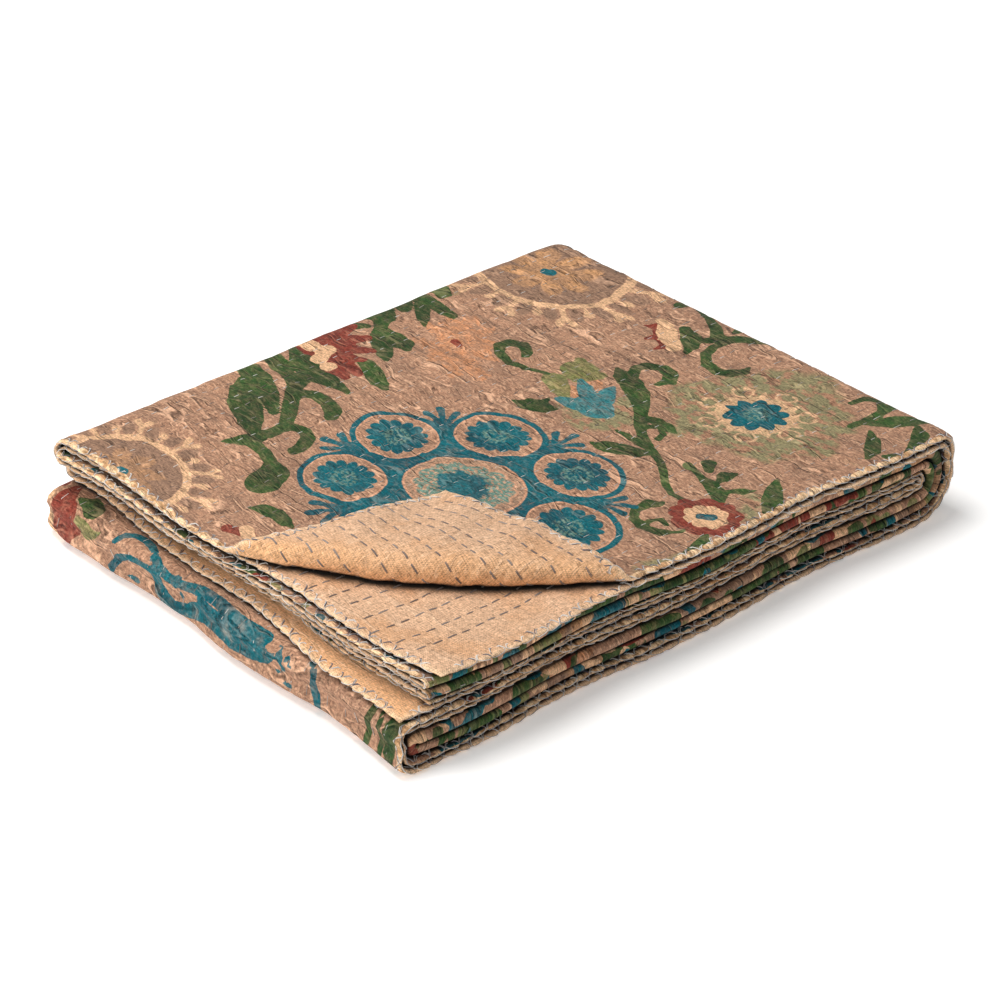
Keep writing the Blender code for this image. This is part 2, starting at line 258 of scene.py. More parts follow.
def turnCorner(x, y, height, offset):
    c = turnedCorner
    run = (x - creaseStart[0]) * creaseDirection[0] + (y - creaseStart[1]) * creaseDirection[1]
    beyond = (x - creaseStart[0]) * creaseOutward[0] + (y - creaseStart[1]) * creaseOutward[1]
    middle = np.sin(math.pi * np.clip(run / creaseLength, 0.0, 1.0))
    radius = c["rollEnd"] + (c["rollMiddle"] - c["rollEnd"]) * middle
    bow = c["bow"] * middle * smooth(1.0 + beyond / c["bowReach"])
    flat = beyond <= 0
    angle = np.clip(beyond / radius, 0.0, math.pi)
    laidBack = np.maximum(beyond - math.pi * radius, 0.0)
    fall = (2 * radius - c["restHeight"]) * smooth(laidBack / c["fallLength"])
    wave = np.sin(2 * math.pi * (run - 0.5 * beyond) / c["hemLiftWave"] + 0.6)
    lift = c["hemLift"] * smooth(laidBack / 0.03) * (0.5 + 0.5 * wave)
    out = np.where(flat, beyond + bow, bow + (radius - offset) * np.sin(angle) - laidBack)
    rise = np.where(flat, offset, radius - (radius - offset) * np.cos(angle) - fall + lift)
    skew = c["skew"] * (laidBack / c["fallLength"]) ** 2
    movedX = creaseStart[0] + creaseDirection[0] * (run - skew) + creaseOutward[0] * out
    movedY = creaseStart[1] + creaseDirection[1] * (run - skew) + creaseOutward[1] * out
    return movedX, movedY, height + rise


def settleStack(x, y, z):
    # what overhangs the left fold sinks round it
    foldEdge = -foldedLength / 2 - reachAt(quiltFold["foldReach"], y)
    overhang = foldEdge + 0.5 * passPitch + 1.5 * layerPitch - x
    above = z + passPitch
    hangs = (overhang > 0) & (above > 4.0 * layerPitch)
    z = np.where(hangs, np.sqrt(np.maximum(above * above - overhang * overhang, 0.0)) - passPitch, z)
    # the left fold is creased inwards at its middle
    level = (z + passPitch) / quiltFold["dentHalfHeight"]
    x = x + quiltFold["dentDepth"] * np.exp(-level * level) * smooth(1.0 - (x - foldEdge) / quiltFold["dentFade"])
    # the wrap at the right is squarer at its top
    radius = 1.5 * passPitch + passHalfThickness
    out = np.maximum((x - lengthwise[1][0]) / radius, 0.0)
    up = np.maximum(z / radius, 0.0)
    squareness = quiltFold["wrapSquareness"]
    x, z = x + out * radius * squareness * up * up, z + up * radius * squareness * out * out
    # the stack stands on the floor, lower at its front right corner
    toRight, toFront = 0.5 + x / foldedLength, 0.5 - y / foldedWidth
    z = (z + stackBase) * (1.0 - quiltFold["cornerSlump"] * toRight * toFront)
    return x, y, z


def foldedPoints(u, v, offset):
    # where the points (u, v) of the flat quilt lie once folded, offset to its printed side
    u, v = np.asarray(u, float), np.asarray(v, float)
    offset = np.broadcast_to(np.asarray(offset, float), u.shape)
    columnX, columnZ, columnNormalX, columnNormalZ, columnProgress = followPath(lengthwise, u)
    rowY, rowZ, rowNormalY, rowNormalZ, rowProgress = followPath(across, v)
    x, y = unevenEdges(columnX, rowY, columnProgress, rowProgress)
    height = rowZ + offset * rowNormalZ
    plain = (x + columnNormalX * height, y + offset * rowNormalY, columnZ + columnNormalZ * height)
    corner = turnCorner(x, y, columnZ + rowZ, offset)
    top = (columnProgress <= 1) & (rowProgress <= 1)
    x, y, z = (np.where(top, *either) for either in zip(corner, plain))
    return np.stack(settleStack(x, y, z), axis=-1)


def stackShift():
    # centres the folded stack on the frame's printed face
    u, v = np.meshgrid(np.linspace(0, pathLength, 1500), np.linspace(0, pathWidth, 400), indexing="ij")
    place = foldedPoints(u.ravel(), v.ravel(), quiltFold["quiltThickness"] / 2)
    low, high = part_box("printed_face")
    centre = (place.min(0) + place.max(0)) / 2
    return np.array([(low.x + high.x) / 2 - centre[0], (low.y + high.y) / 2 - centre[1], 0.0])


shift = stackShift()
print("fold worked out, shifted by", [round(float(value) * 1000, 1) for value in shift], "mm")

# the two cloths
clothSheets = {
    "showingOffset": 0.00115, "insideOffset": 0.0001, "hemOffset": 0.00018, "hemRounding": 0.0030,
    "topStep": 0.0017, "wrapStep": 0.0022, "hemStep": 0.0024, "flapStep": 0.0017, "underFlapStep": 0.0035,
    "outerFoldStep": 0.0018, "innerFoldStep": 0.0011, "ledgeStep": 0.0028, "insideStep": 0.0045,
    "hemRows": (0.0007, 0.0015, 0.0025, 0.0038, 0.0055),
    "runSteps": 15, "turnSteps": (9, 8, 6),
    "rimMargin": 0.0005, "firstLine": 0.0055,
    "cornerShown": (0.165, 0.195), "underFlap": (0.125, 0.060), "ledge": 0.034,
    "rowSpacing": 0.0138, "firstRow": 0.0100,
    "puffHeight": 0.0006, "puckerHeight": 0.0012, "creaseHeight": 0.0013,
}


whippedHem = {
    "spacing": 0.0094, "wander": 0.0026, "flatten": 0.24, "bulge": 0.26, "pinch": 0.50, "puffOut": 0.0008,
    "reachIn": 0.0044, "threadRadius": 0.00024, "strandGap": 0.00034,
    "fromEnds": 0.004, "uneven": 0.0005, "strandUneven": 0.0003,
    "slants": ((1, (-1, 1)), (-1, (-0.4, 1.2))),   # which way, and where its strands lie
}
runningStitch = {
    "length": 0.0090, "plainShare": 0.62, "threadRadius": 0.00024, "strandGap": 0.00026,
    "lift": 0.00020, "dive": 0.0006, "uneven": 0.0007, "lengths": (0.86, 1.12),
    "fromEnds": 0.006, "fromSide": 0.008,
    # where the plain side shows: to this u, to this v at the turned corner, and this far from the other hem
    "plainShown": (0.165, 0.185, 0.190),
    # how far the printed side's rows go past the wrap, before and past the left fold, and along the ledge
    "printShown": (0.01, 0.022, 0.034, 0.026),
}


def evenLines(low, high, step):
    count = max(1, round((high - low) / step))
    return np.linspace(low, high, count + 1)


def region(uLow, uHigh, vLow, vHigh, step):
    return evenLines(uLow, uHigh, step), evenLines(vLow, vHigh, step)


def inRegion(points, uLow, uHigh, vLow, vHigh):
    u, v = points.T
    return (u > uLow) & (u < uHigh) & (v > vLow) & (v < vHigh)


def coarseLines(starts):
    lines = [0.0]
    turn = iter(clothSheets["turnSteps"])
    for index in range(7):
        steps = next(turn) if index % 2 else clothSheets["runSteps"]
        lines.extend(np.linspace(starts[index], starts[index + 1], steps + 1)[1:])
    return np.array(lines)


def spreadPoints(regions):
    # points of a flat sheet: earlier regions win, and later ones stay clear of them
    length, width, step = pathLength, pathWidth, clothSheets["hemStep"]
    alongLength, alongWidth = evenLines(0.0, length, step), evenLines(0.0, width, step)
    rim = [(u, 0.0) for u in alongLength] + [(u, width) for u in alongLength]
    rim += [(0.0, v) for v in alongWidth[1:-1]] + [(length, v) for v in alongWidth[1:-1]]
    kept, claimed = [np.array(rim)], []
    for uLines, vLines in regions:
        grid = np.stack(np.meshgrid(uLines, vLines, indexing="ij"), axis=-1).reshape(-1, 2)
        margin = 0.45 * min(np.median(np.diff(uLines)), np.median(np.diff(vLines)))
        rimMargin = clothSheets["rimMargin"]
        free = inRegion(grid, rimMargin, length - rimMargin, rimMargin, width - rimMargin)
        for uLow, uHigh, vLow, vHigh in claimed:
            free &= ~inRegion(grid, uLow - margin, uHigh + margin, vLow - margin, vHigh + margin)
        kept.append(grid[free])
        claimed.append((uLines[0], uLines[-1], vLines[0], vLines[-1]))
    points = np.concatenate(kept)
    flat = delaunay_2d_cdt([Vector(p) for p in points.tolist()], [], [], 0, 1e-7, False)
    return np.array([tuple(p) for p in flat[0]]), np.array([f for f in flat[2] if len(f) == 3])


def rimOrder(points):
    # the points of the rim, in order round it
    length, width = pathLength, pathWidth
    u, v, near = points[:, 0], points[:, 1], 1e-5
    sides = [
        (v < near, u), (u > length - near, length + v),
        (v > width - near, length + width + (length - u)), (u < near, 2 * length + width + (width - v)),
    ]
    place = np.full(len(points), -1.0)
    for on, distance in reversed(sides):
        place = np.where(on, distance, place)
    rim = np.nonzero(place >= 0)[0]
    return rim[np.argsort(place[rim])]


def hemDistance(u, v):
    return np.minimum(np.minimum(u, pathLength - u), np.minimum(v, pathWidth - v))


def hemShape(u, v):
    # 0 at a hem's edge, rounding up to 1
    inside = np.clip(hemDistance(u, v) / clothSheets["hemRounding"], 0.0, 1.0)
    return np.sqrt(1.0 - (1.0 - inside) ** 2)


def showing(u, v):
    # 1 where the printed side is in the open: the top, the round wrap and the left fold
    beforeBack = smooth((widthStarts[1] - v) / 0.004)
    top = smooth((lengthStarts[2] + 0.02 - u) / 0.01) * beforeBack
    leftFold = smooth((u - lengthStarts[3] + 0.03) / 0.01) * smooth((lengthStarts[4] + 0.04 - u) / 0.01) * beforeBack
    return np.maximum(top, leftFold)


def rowCentre(row, u):
    # where a row of running stitches lies across the quilt: sewn by eye, so never quite straight
    jitter = 0.0022 * np.sin(row * 2.4 + 0.7) * np.cos(row * 1.3)
    middle = clothSheets["firstRow"] + clothSheets["rowSpacing"] * row + jitter
    return middle + 0.0012 * softNoise(u / 0.045, row * 3.7, 21)


def rowDistance(u, v):
    # distance across to the nearest row of running stitches
    row = np.round((v - clothSheets["firstRow"]) / clothSheets["rowSpacing"])
    return v - rowCentre(row, u)


def hemPhase(along, hem):
    # counts the stitches along a hem; they are not quite evenly spaced
    return (along + whippedHem["wander"] * softNoise(along / 0.031, hem * 5.3, 17)) / whippedHem["spacing"]


def whipPuff(u, v):
    # 1 between two threads crossing the nearest hem, 0 at one
    alongSide = np.minimum(v, pathWidth - v) < np.minimum(u, pathLength - u)
    hem = np.where(alongSide, np.where(v < pathWidth / 2, 0, 1), np.where(u < pathLength / 2, 2, 3))
    along = np.where(alongSide, u, v)
    fullness = 0.8 + 0.2 * softNoise(along / 0.012, hem * 3.1, 18)
    return fullness * np.abs(np.cos(math.pi * hemPhase(along, hem))) ** 0.5


def hemSqueeze(u, v):
    # how much thinner the hem is than the rest: flat, puffed between its threads and pinched at them
    w = whippedHem
    distance, puff = hemDistance(u, v), whipPuff(u, v)
    bulge = np.exp(-(((distance - 0.0016) / 0.0018) ** 2))
    flatter = 1.0 - w["flatten"] * np.exp(-((distance / 0.006) ** 2))
    return flatter + (w["bulge"] * puff - w["pinch"] * (1.0 - puff)) * bulge


def pushedOut(u, v):
    # the flat place of a point, moved out past the hem where the cloth puffs between two stitches
    reach = whippedHem["puffOut"] * whipPuff(u, v)
    moved = []
    for place, size in ((u, pathLength), (v, pathWidth)):
        low = smooth(1.0 - place / 0.0035) * reach
        high = smooth(1.0 - (size - place) / 0.0035) * reach
        moved.append(place - low + high)
    return moved


def puckers(u, v, seed):
    # kantha puckers: ridges across the rows of stitches, pulled down along them
    c = clothSheets
    warp = 0.004 * softNoise(u / 0.03, v / 0.02, seed + 1)
    ridges = 0.55 * softNoise((u + warp) / 0.0052, v / 0.020, seed)
    ridges = ridges + 0.45 * softNoise((u - warp) / 0.0100, v / 0.042, seed + 2)
    creaseLine = softNoise((u + 2 * warp) / 0.019, v / 0.060, seed + 3)
    creaseLine = np.abs(creaseLine + 0.15 * softNoise(u / 0.01, v / 0.012, seed + 4))
    crease = np.exp(-((creaseLine / 0.13) ** 2)) * smooth(0.5 + 1.5 * softNoise(u / 0.03, v / 0.04, seed + 5))
    dip = np.exp(-((rowDistance(u, v) / 0.0016) ** 2))
    puff = c["puffHeight"] * (1.0 - dip) - 0.0002
    return puff + c["puckerHeight"] * ridges * (1.0 - 0.4 * dip) + c["creaseHeight"] * crease


def nearFold(v):
    # 1 along the folds that run the length of the quilt, where the layers draw apart
    folds = (0.5 * (widthStarts[1] + widthStarts[2]), 0.5 * (widthStarts[3] + widthStarts[4]))
    return np.max([np.exp(-(((v - place) / 0.006) ** 2)) for place in folds], axis=0)


def reliefOffset(u, v, relief):
    # how far a showing side lies from the middle of the quilt, thinner at its hems
    atHem, inside = clothSheets["hemOffset"], clothSheets["showingOffset"]
    return atHem + (inside - atHem + relief) * hemShape(u, v) * hemSqueeze(u, v)


def printedOffset(u, v):
    free = showing(u, v)
    wrap = smooth((u - lengthStarts[1] + 0.006) / 0.012)
    relief = puckers(u, v, 30) * (0.30 + 0.70 * free) * (1.0 - 0.65 * wrap)
    relief = np.clip(relief, -0.0007, 0.0004 + 0.0018 * free) - 0.00035 * (1.0 - free) * nearFold(v)
    return reliefOffset(u, v, relief)


def plainShowing(u, v):
    corner = smooth((0.17 - u) / 0.02)
    return corner * np.maximum(smooth((0.20 - v) / 0.02), smooth((v - pathWidth + 0.20) / 0.02))


def plainOffset(u, v):
    free = plainShowing(u, v)
    relief = 0.70 * puckers(u, v, 60) * (0.25 + 0.75 * free)
    relief = np.clip(relief, -0.0006, 0.0004 + 0.0010 * free)
    return -reliefOffset(u, v, relief)


def insideOffset(u, v):
    return clothSheets["insideOffset"] * np.ones_like(u)


def hemRegions():
    length, width, step = pathLength, pathWidth, clothSheets["hemStep"]
    rows = np.array(clothSheets["hemRows"])
    alongLength, alongWidth = evenLines(0.0, length, step), evenLines(0.0, width, step)
    return [
        (alongLength, rows), (alongLength, width - rows[::-1]),
        (rows, alongWidth), (length - rows[::-1], alongWidth),
    ]


def coarseRegion():
    return coarseLines(lengthStarts), coarseLines(widthStarts)


def printedRegions():
    # under the turned corner, the top, the wrap, the left fold, the back folds, the ledge and the rest
    c = clothSheets
    first, topU, topV = c["firstLine"], lengthStarts[1], widthStarts[1]
    alongLength = evenLines(0.0, pathLength, c["hemStep"])
    return hemRegions() + [
        region(first, c["underFlap"][0], first, c["underFlap"][1], c["underFlapStep"]),
        region(first, topU, first, topV, c["topStep"]),
        region(topU, lengthStarts[2] + 0.02, first, topV, c["wrapStep"]),
        region(lengthStarts[3] - 0.025, lengthStarts[4] + 0.035, first, topV, c["wrapStep"]),
        (alongLength, evenLines(topV, widthStarts[2] + 0.001, c["outerFoldStep"])),
        (alongLength, evenLines(widthStarts[3] - 0.0015, widthStarts[4] + 0.0015, c["innerFoldStep"])),
        region(pathLength - c["ledge"], pathLength - first, first, pathWidth - first, c["ledgeStep"]),
        coarseRegion(),
    ]


def plainRegions():
    # the turned corner, what it lies against, and the rest
    first, step = clothSheets["firstLine"], clothSheets["flapStep"]
    toU, toV = clothSheets["cornerShown"]
    return hemRegions() + [
        region(first, toU, first, toV, step), region(first, toU, pathWidth - toV, pathWidth - first, step),
        coarseRegion(),
    ]


def insideRegions():
    toU, toV = clothSheets["cornerShown"]
    return [region(0.004, toU, 0.004, toV, clothSheets["insideStep"]), coarseRegion()]


def closedCloth(name, upper, upperOffset, lower, lowerOffset):
    # a thin closed sheet between two offsets, each side with its own lattice and both with one rim
    sides = []
    for (points, triangles), offset in ((upper, upperOffset), (lower, lowerOffset)):
        u, v = points.T
        place = foldedPoints(*pushedOut(u, v), offset(u, v)) + shift
        place[:, 2] = np.maximum(place[:, 2], 0.0001)
        sides.append((points, triangles, place))
    count = len(sides[0][0])
    upRim, downRim = rimOrder(sides[0][0]), rimOrder(sides[1][0]) + count
    upNext, downNext = np.roll(upRim, -1), np.roll(downRim, -1)
    hem = np.concatenate([np.stack([upNext, upRim, downRim], 1), np.stack([upNext, downRim, downNext], 1)])
    faces = np.concatenate([sides[0][1], sides[1][1][:, ::-1] + count, hem])
    mesh = bpy.data.meshes.new(name)
    mesh.from_pydata(np.concatenate([sides[0][2], sides[1][2]]).tolist(), [], faces.tolist())
    mesh.polygons.foreach_set("use_smooth", np.ones(len(faces), bool))
    flat = np.concatenate([sides[0][0], sides[1][0]])
    corners = getValues(mesh.loops, "vertex_index", kind=int)
    mesh.uv_layers.new(name="flatCloth").data.foreach_set("uv", flat[corners].ravel())
    mesh.update()
    print(name, len(faces), "triangles")
    return addObject(name, mesh), flat, corners


insideLattice = spreadPoints(insideRegions())
insideCount = len(insideLattice[0])
printedCloth, printedFlat, printedCorners = closedCloth(
    "printedCloth", spreadPoints(printedRegions()), printedOffset, insideLattice, insideOffset)
plainCloth, plainFlat, plainCorners = closedCloth(
    "plainCloth", insideLattice, lambda u, v: -insideOffset(u, v), spreadPoints(plainRegions()), plainOffset)


# the print
# strokes by ink, each a run of (x, y, half width) in millimetres over the top of the folded stack
printStrokes = {
    "leafyBranch": {
        "green": [
            [(-124, 47, 11), (-115, 51, 10), (-108, 62, 4), (-105, 74, 3.5), (-104, 86, 5)],
            [(-117, 97, 1), (-109, 91, 5), (-100, 88, 6), (-88, 86, 5), (-78, 88, 4.5), (-69, 97, 5),
             (-60, 107, 5), (-49, 118, 5), (-38, 124, 6), (-28, 128, 7)],
            [(-98, 91, 3), (-91, 105, 8), (-81, 124, 10), (-71, 139, 6.5), (-64, 148, 1.5)],
            [(-75, 104, 3), (-66, 120, 6), (-58, 139, 8), (-53, 155, 7), (-50, 172, 4)],
            [(-50, 118, 3), (-43, 130, 4), (-37, 145, 6.5), (-33, 160, 6), (-32, 172, 4)],
            [(-28, 94, 2), (-28, 106, 5), (-29, 120, 9), (-23, 136, 11), (-13, 151, 10), (-6, 163, 8),
             (0, 174, 5)],
            [(-60, 107, 4.5), (-52, 111, 4.5), (-45, 105, 4.5), (-44, 93, 4.5), (-48, 82, 5.5), (-52, 78, 4.5)],
            [(-84, 85, 3), (-76, 83, 3.6), (-73, 76, 4), (-76, 68, 4.5), (-84, 63, 5), (-91, 62, 4)],
            [(3, 124, 2), (1, 112, 5), (-3, 100, 6), (-7, 90, 5.5), (-9, 84, 3)],
        ],
    },
    "halfFlower": {
        "red": [
            [(2, 150, 19), (4, 158, 17)], [(-14, 124, 8), (-18, 110, 3.5)], [(-9, 126, 7.5), (-9, 108, 3)],
            [(-4, 132, 8), (3, 117, 2.6)], [(4, 138, 8.5), (16, 124, 3)], [(8, 146, 8.5), (25, 138, 3.5)],
            [(10, 154, 9), (27, 155, 4)],
        ],
        "cream": [
            [(-16.5, 125.7, 5.2)], [(-15, 136, 5), (-9, 139, 5)], [(-4.3, 141.7, 6.6)],
            [(-7.4, 152, 5.8), (-8, 164, 5)],
        ],
    },
    "seedling": {
        "green": [
            [(58, 162, 7), (50, 152, 8.5), (44, 146, 5), (38, 140, 3.5)], [(44, 162, 6), (50, 152, 6)],
            [(40, 144, 3), (33, 135, 6), (26, 126, 6.5), (18, 115, 5), (14, 110, 2)],
            [(40, 140, 3), (38, 128, 6), (36, 118, 6.5), (33, 112, 3)],
            [(22, 161, 5), (28, 155, 4.5), (35, 150, 3)],
            [(61, 126, 1), (67, 134, 4), (76, 145, 5), (85, 155, 5), (90, 164, 3)],
            [(83, 126, 3.5), (84, 136, 5), (86, 150, 5), (87, 162, 4)],
            [(98, 149, 5), (101, 157, 6.5), (105, 166, 5)], [(68, 153, 5), (76, 162, 5)],
        ],
    },
    "washedFlower": {
        "peach": [
            [(60, 98, 7), (61, 110, 5), (63, 126, 3)], [(62, 99, 6), (72, 113, 6), (78, 128, 2)],
            [(62, 99, 5), (76, 107, 5), (89, 115, 3)], [(62, 97, 5), (78, 97, 5), (88, 99, 2)],
            [(60, 96, 6), (70, 87, 7), (78, 79, 4)], [(60, 94, 5), (62, 80, 5), (66, 69, 2)],
            [(56, 94, 6), (50, 78, 7), (46, 60, 4)], [(56, 96, 6), (44, 84, 6), (35, 73, 3)],
            [(56, 99, 5), (44, 98, 5), (36, 93, 3)], [(58, 101, 5), (47, 110, 5), (44, 118, 3)],
        ],
        "red": [[(60, 94, 1.8), (61, 101, 2.2)]],
    },
    "tulip": {
        "green": [
            [(78, 36, 2), (73, 48, 2.2), (70, 60, 2.6), (72, 72, 3.2), (79, 80, 3.8), (87, 80, 3.8),
             (91, 72, 3.6), (87, 64, 3.6), (82, 60, 2.4)],
            [(43, 28, 1), (46, 18, 6.5), (49, 10, 6), (53, 3, 2)], [(50, 12, 3), (59, 14, 1)],
        ],
        "olive": [
            [(77, 29, 7.5), (71, 17, 6), (66, 8, 3)], [(94, 31, 8), (90, 20, 7), (98, 14, 5)],
            [(103, 36, 3), (101, 22, 4)],
        ],
        "peach": [[(74, 22, 2.6), (74, 8, 3.6)], [(91, 21, 3), (86, 6, 6)]],
        "haze": [[(60, 2, 6), (54, -14, 9), (62, -27, 9), (78, -30, 8), (88, -18, 6)]],
        "blue": [
            [(70, -21, 5), (70, -14, 10), (72, -7, 11)], [(66, -2, 6), (63, 9, 3), (62, 12, 1)],
            [(75, -4, 6), (82, 8, 5), (87, 18, 1.5)], [(80, -10, 6), (88, -4, 5), (95, -2, 1.2)],
        ],
    },
    "vine": {
        "green": [
            [(112, 15, 1), (108, 6, 5), (105, -5, 7), (99, -17, 6.6), (91, -28, 5), (83, -36, 4),
             (74, -44, 3.6), (66, -54, 3.1), (60, -66, 2.9), (55, -78, 2.6), (48, -88, 2.4), (40, -98, 2.3),
             (35, -108, 2.2), (34, -118, 2.1), (36, -126, 2)],
            [(104, -8, 3), (111, 0, 3.2), (119, 7, 3.2), (127, 7, 3.6), (132, -1, 3.8), (130, -10, 4.4),
             (123, -16, 4.4), (116, -15, 2.6)],
            [(58, -68, 2), (52, -63, 5), (47, -54, 6.8), (43, -44, 5), (41, -37, 1)],
            [(60, -66, 2), (60, -55, 2.5), (61, -45, 2.2), (61, -37, 1)],
            [(70, -49, 1.8), (77, -46, 1.8), (82, -52, 1.8), (78, -59, 2), (71, -61, 2.2)],
            [(82, -38, 2), (85, -48, 4), (85, -57, 3), (84, -63, 1)],
        ],
    },
    "redFlower": {
        "green": [
            [(22, -111, 3.5), (18, -106, 4), (9, -106, 2.6), (2, -112, 2.8), (-1, -122, 3), (1, -132, 3),
             (8, -138, 2), (14, -139, 1)],
            [(1, -122, 1.6), (6, -119, 1.7), (11, -123, 1.9), (9, -129, 1.6)],
            [(18, -148, 1.5), (8, -155, 5), (-3, -160, 6), (-13, -164, 3)],
            [(89, -136, 1), (80, -143, 4.5), (70, -150, 6.4), (60, -157, 5), (53, -162, 2)],
            [(40, -133, 2.5), (47, -131, 3), (54, -125, 5), (58, -115, 4.4), (60, -106, 2.6), (63, -98, 2),
             (64, -92, 3.6)],
            [(69, -104, 3), (74, -99, 4.8)], [(63, -116, 1.6), (70, -115, 4.8), (77, -117, 1.5)],
            [(59, -126, 1.5), (65, -132, 3), (71, -137, 1)],
        ],
        "haze": [[(46, -150, 6), (62, -144, 5)]],
    },
    "bud": {
        "red": [
            [(152, 19, 3.4), (145, 20, 1.0)], [(157, 29, 4.4), (150, 33, 1.2)],
            [(164, 38, 3.4), (161, 45, 1.0)], [(152, 18, 3.2), (158, 29, 4.2), (165, 39, 3.0)],
        ],
        "cream": [
            [(158, 22, 5.0), (164, 30, 6.5), (169, 37, 4.2)], [(154, 14, 4.6), (160, 20, 4.0)],
            [(172, 42, 4.0), (170, 36, 4.6)], [(159, 24, 3.2), (154, 27, 0.8)],
        ],
        "green": [
            [(155, 5, 1.5), (163, 9, 5), (170, 16, 6.4), (175, 26, 3.6), (176, 30, 1)],
            [(160, 20, 1.2), (167, 14, 4)],
            [(170, 10, 3), (178, 5, 3), (184, -2, 3.4), (190, -12, 3.6), (194, -19, 1.2)],
            [(179, 4, 3), (184, 14, 2.6), (189, 27, 2.6), (193, 40, 2)], [(189, 50, 4), (194, 51, 3)],
            [(188, 4, 2), (196, 8, 3)],
            [(184, -2, 3), (173, -1, 3.2), (162, -4, 3.2), (154, -13, 3.4), (152, -23, 3.4), (156, -31, 4.6),
             (164, -33, 3.4), (170, -32, 0.8)],
        ],
    },
    "edgeSprig": {
        "green": [
            [(162, -117, 2), (174, -118, 3), (184, -117, 3), (196, -115, 2.5)],
            [(181, -99, 2), (187, -100, 2.6), (191, -107, 2.6), (185, -116, 2.6)],
            [(170, -119, 2), (180, -127, 5), (188, -136, 5.4), (196, -142, 3)],
            [(166, -128, 1.2), (160, -136, 4.2), (151, -144, 4.8), (142, -149, 1.2)],
            [(184, -142, 1.5), (180, -151, 4), (170, -156, 3.5), (161, -158, 1.2)],
            [(151, -153, 2), (158, -156, 3.2)],
        ],
    },
    "lostLeaf": {
        "green": [[(-145, 31, 1.5), (-140, 26, 5), (-138, 18, 5), (-139, 9, 4), (-139, 3, 1.2)]],
        "red": [[(-168, 20, 4), (-163, 12, 5.5)]],
        "cream": [[(-160, 15, 4), (-164, 8, 4)]],
        "haze": [[(-30, -156, 9), (-12, -160, 8)]],
    },
    "laceCloud": {
        "haze": [
            [(98, -62, 13), (104, -86, 15), (112, -108, 14), (134, -116, 15), (156, -104, 14), (172, -84, 13),
             (168, -62, 15), (150, -42, 13), (126, -38, 13), (106, -50, 12)],
            [(118, -92, 20), (146, -92, 20), (146, -60, 20), (120, -60, 20)], [(178, -60, 5), (184, -72, 4)],
        ],
    },
    # the strip that shows round the left fold: x runs over the cloth from where it leaves the floor, at -300
    "foldStrip": {
        "red": [
            [(-253, 148, 3), (-262, 146, 7), (-270, 143, 10), (-278, 141, 12), (-288, 142, 9)],
            [(-255, 159, 4)], [(-269, 136, 8), (-270, 129, 2)], [(-277, 134, 8), (-277, 126, 3)],
        ],
        "cream": [[(-266, 159, 4.5)], [(-284, 158, 5.5)], [(-294, 150, 7)]],
        "green": [
            [(-252, 130, 3), (-256, 127, 6), (-259, 122, 6.5), (-261, 118, 3.5)],
            [(-257, 132, 5), (-258, 139, 1)],
            [(-257, -131, 1.4), (-262, -133, 2.3), (-270, -133, 2.5), (-276, -130, 2.4), (-284, -130, 2.5),
             (-294, -124, 1.2)],
            [(-260, -138, 1), (-268, -142, 1.9), (-276, -141, 2.0), (-283, -142, 2.3), (-292, -139, 1.2)],
            [(-254, -147, 2.5), (-261, -152, 5.4), (-270, -152, 5.8), (-278, -149, 5), (-285, -149, 4.6),
             (-293, -151, 2)],
        ],
        "olive": [[(-270, 126, 3.5), (-273, 119, 6.5), (-272, 110, 3), (-268, 105, 1)]],
        "teal": [
            [(-268, 92, 2), (-261, 89, 2.4), (-257, 84, 2.5), (-256, 76, 2.5), (-258, 68, 2.4), (-261, 62, 2.3),
             (-265, 56, 3.0), (-268, 50, 3.4), (-269, 42, 2.9), (-269, 34, 2.8), (-267.5, 26, 2.9),
             (-264.5, 16, 3.6), (-263.5, 0, 3.6), (-264.5, -16, 4.2), (-264.5, -30, 4.8), (-264, -45, 4.8)],
            [(-286, 94, 3.0), (-279, 90, 2.7), (-275, 85, 2.4), (-271.5, 76, 2.3), (-270.5, 68, 2.3),
             (-271, 60, 2.6), (-272, 55, 3.0)],
            [(-268, 54, 3.6), (-274, 54, 4.6), (-280, 53, 5.2), (-285, 48, 4.8), (-286, 38, 3.8),
             (-284, 28, 3.8), (-280, 20, 4.8), (-276.5, 10, 6.4), (-276, 0, 6.8), (-276.5, -18, 7.2),
             (-275.5, -34, 7.2), (-275, -45, 5.6), (-272, -54, 2.4)],
            [(-261.5, 35, 1.8)], [(-272, 36, 1.4), (-276, 31, 1.8)], [(-283, 80, 1.6), (-285, 71, 2)],
            [(-264, -57, 1.6), (-270, -60, 2.0), (-278, -62, 1.6)], [(-267, -65, 1.8), (-273, -69, 1.4)],
            [(-281, -55, 1.6), (-284, -66, 2.0)],
            [(-262, -80, 2), (-268, -85, 2.2), (-273, -86, 2), (-279, -83, 3), (-284, -87, 2.6),
             (-292, -85, 2.2)],
        ],
    },
}
roundTile = {
    "clusterCentre": (-46, -31), "centreSize": (33, 37.5), "roundelSize": (25.5, 29.8), "orbit": (61, 69),
    "roundels": 7, "firstAngle": 80, "petals": 14,
    # the ground between the roundels, and a crown outside each gap: lean, length and width of its leaves
    "groundAt": 0.74, "groundWidth": 14, "groundSteps": 28,
    "crown": ((-1.0, 0.22, 1.5), (-0.5, 0.29, 1.5), (0.0, 0.34, 1.7), (0.5, 0.29, 1.5), (1.0, 0.22, 1.5)),
}
roundMotifs = {   # kind: (x, y, half width, half height, how worn)
    "sunburst": [(165, 130, 36, 46, 0.0), (-180, 106, 31, 41, 1.0)],
    "lace": [(132, -75, 17.5, 18.5, 0.0)],
}
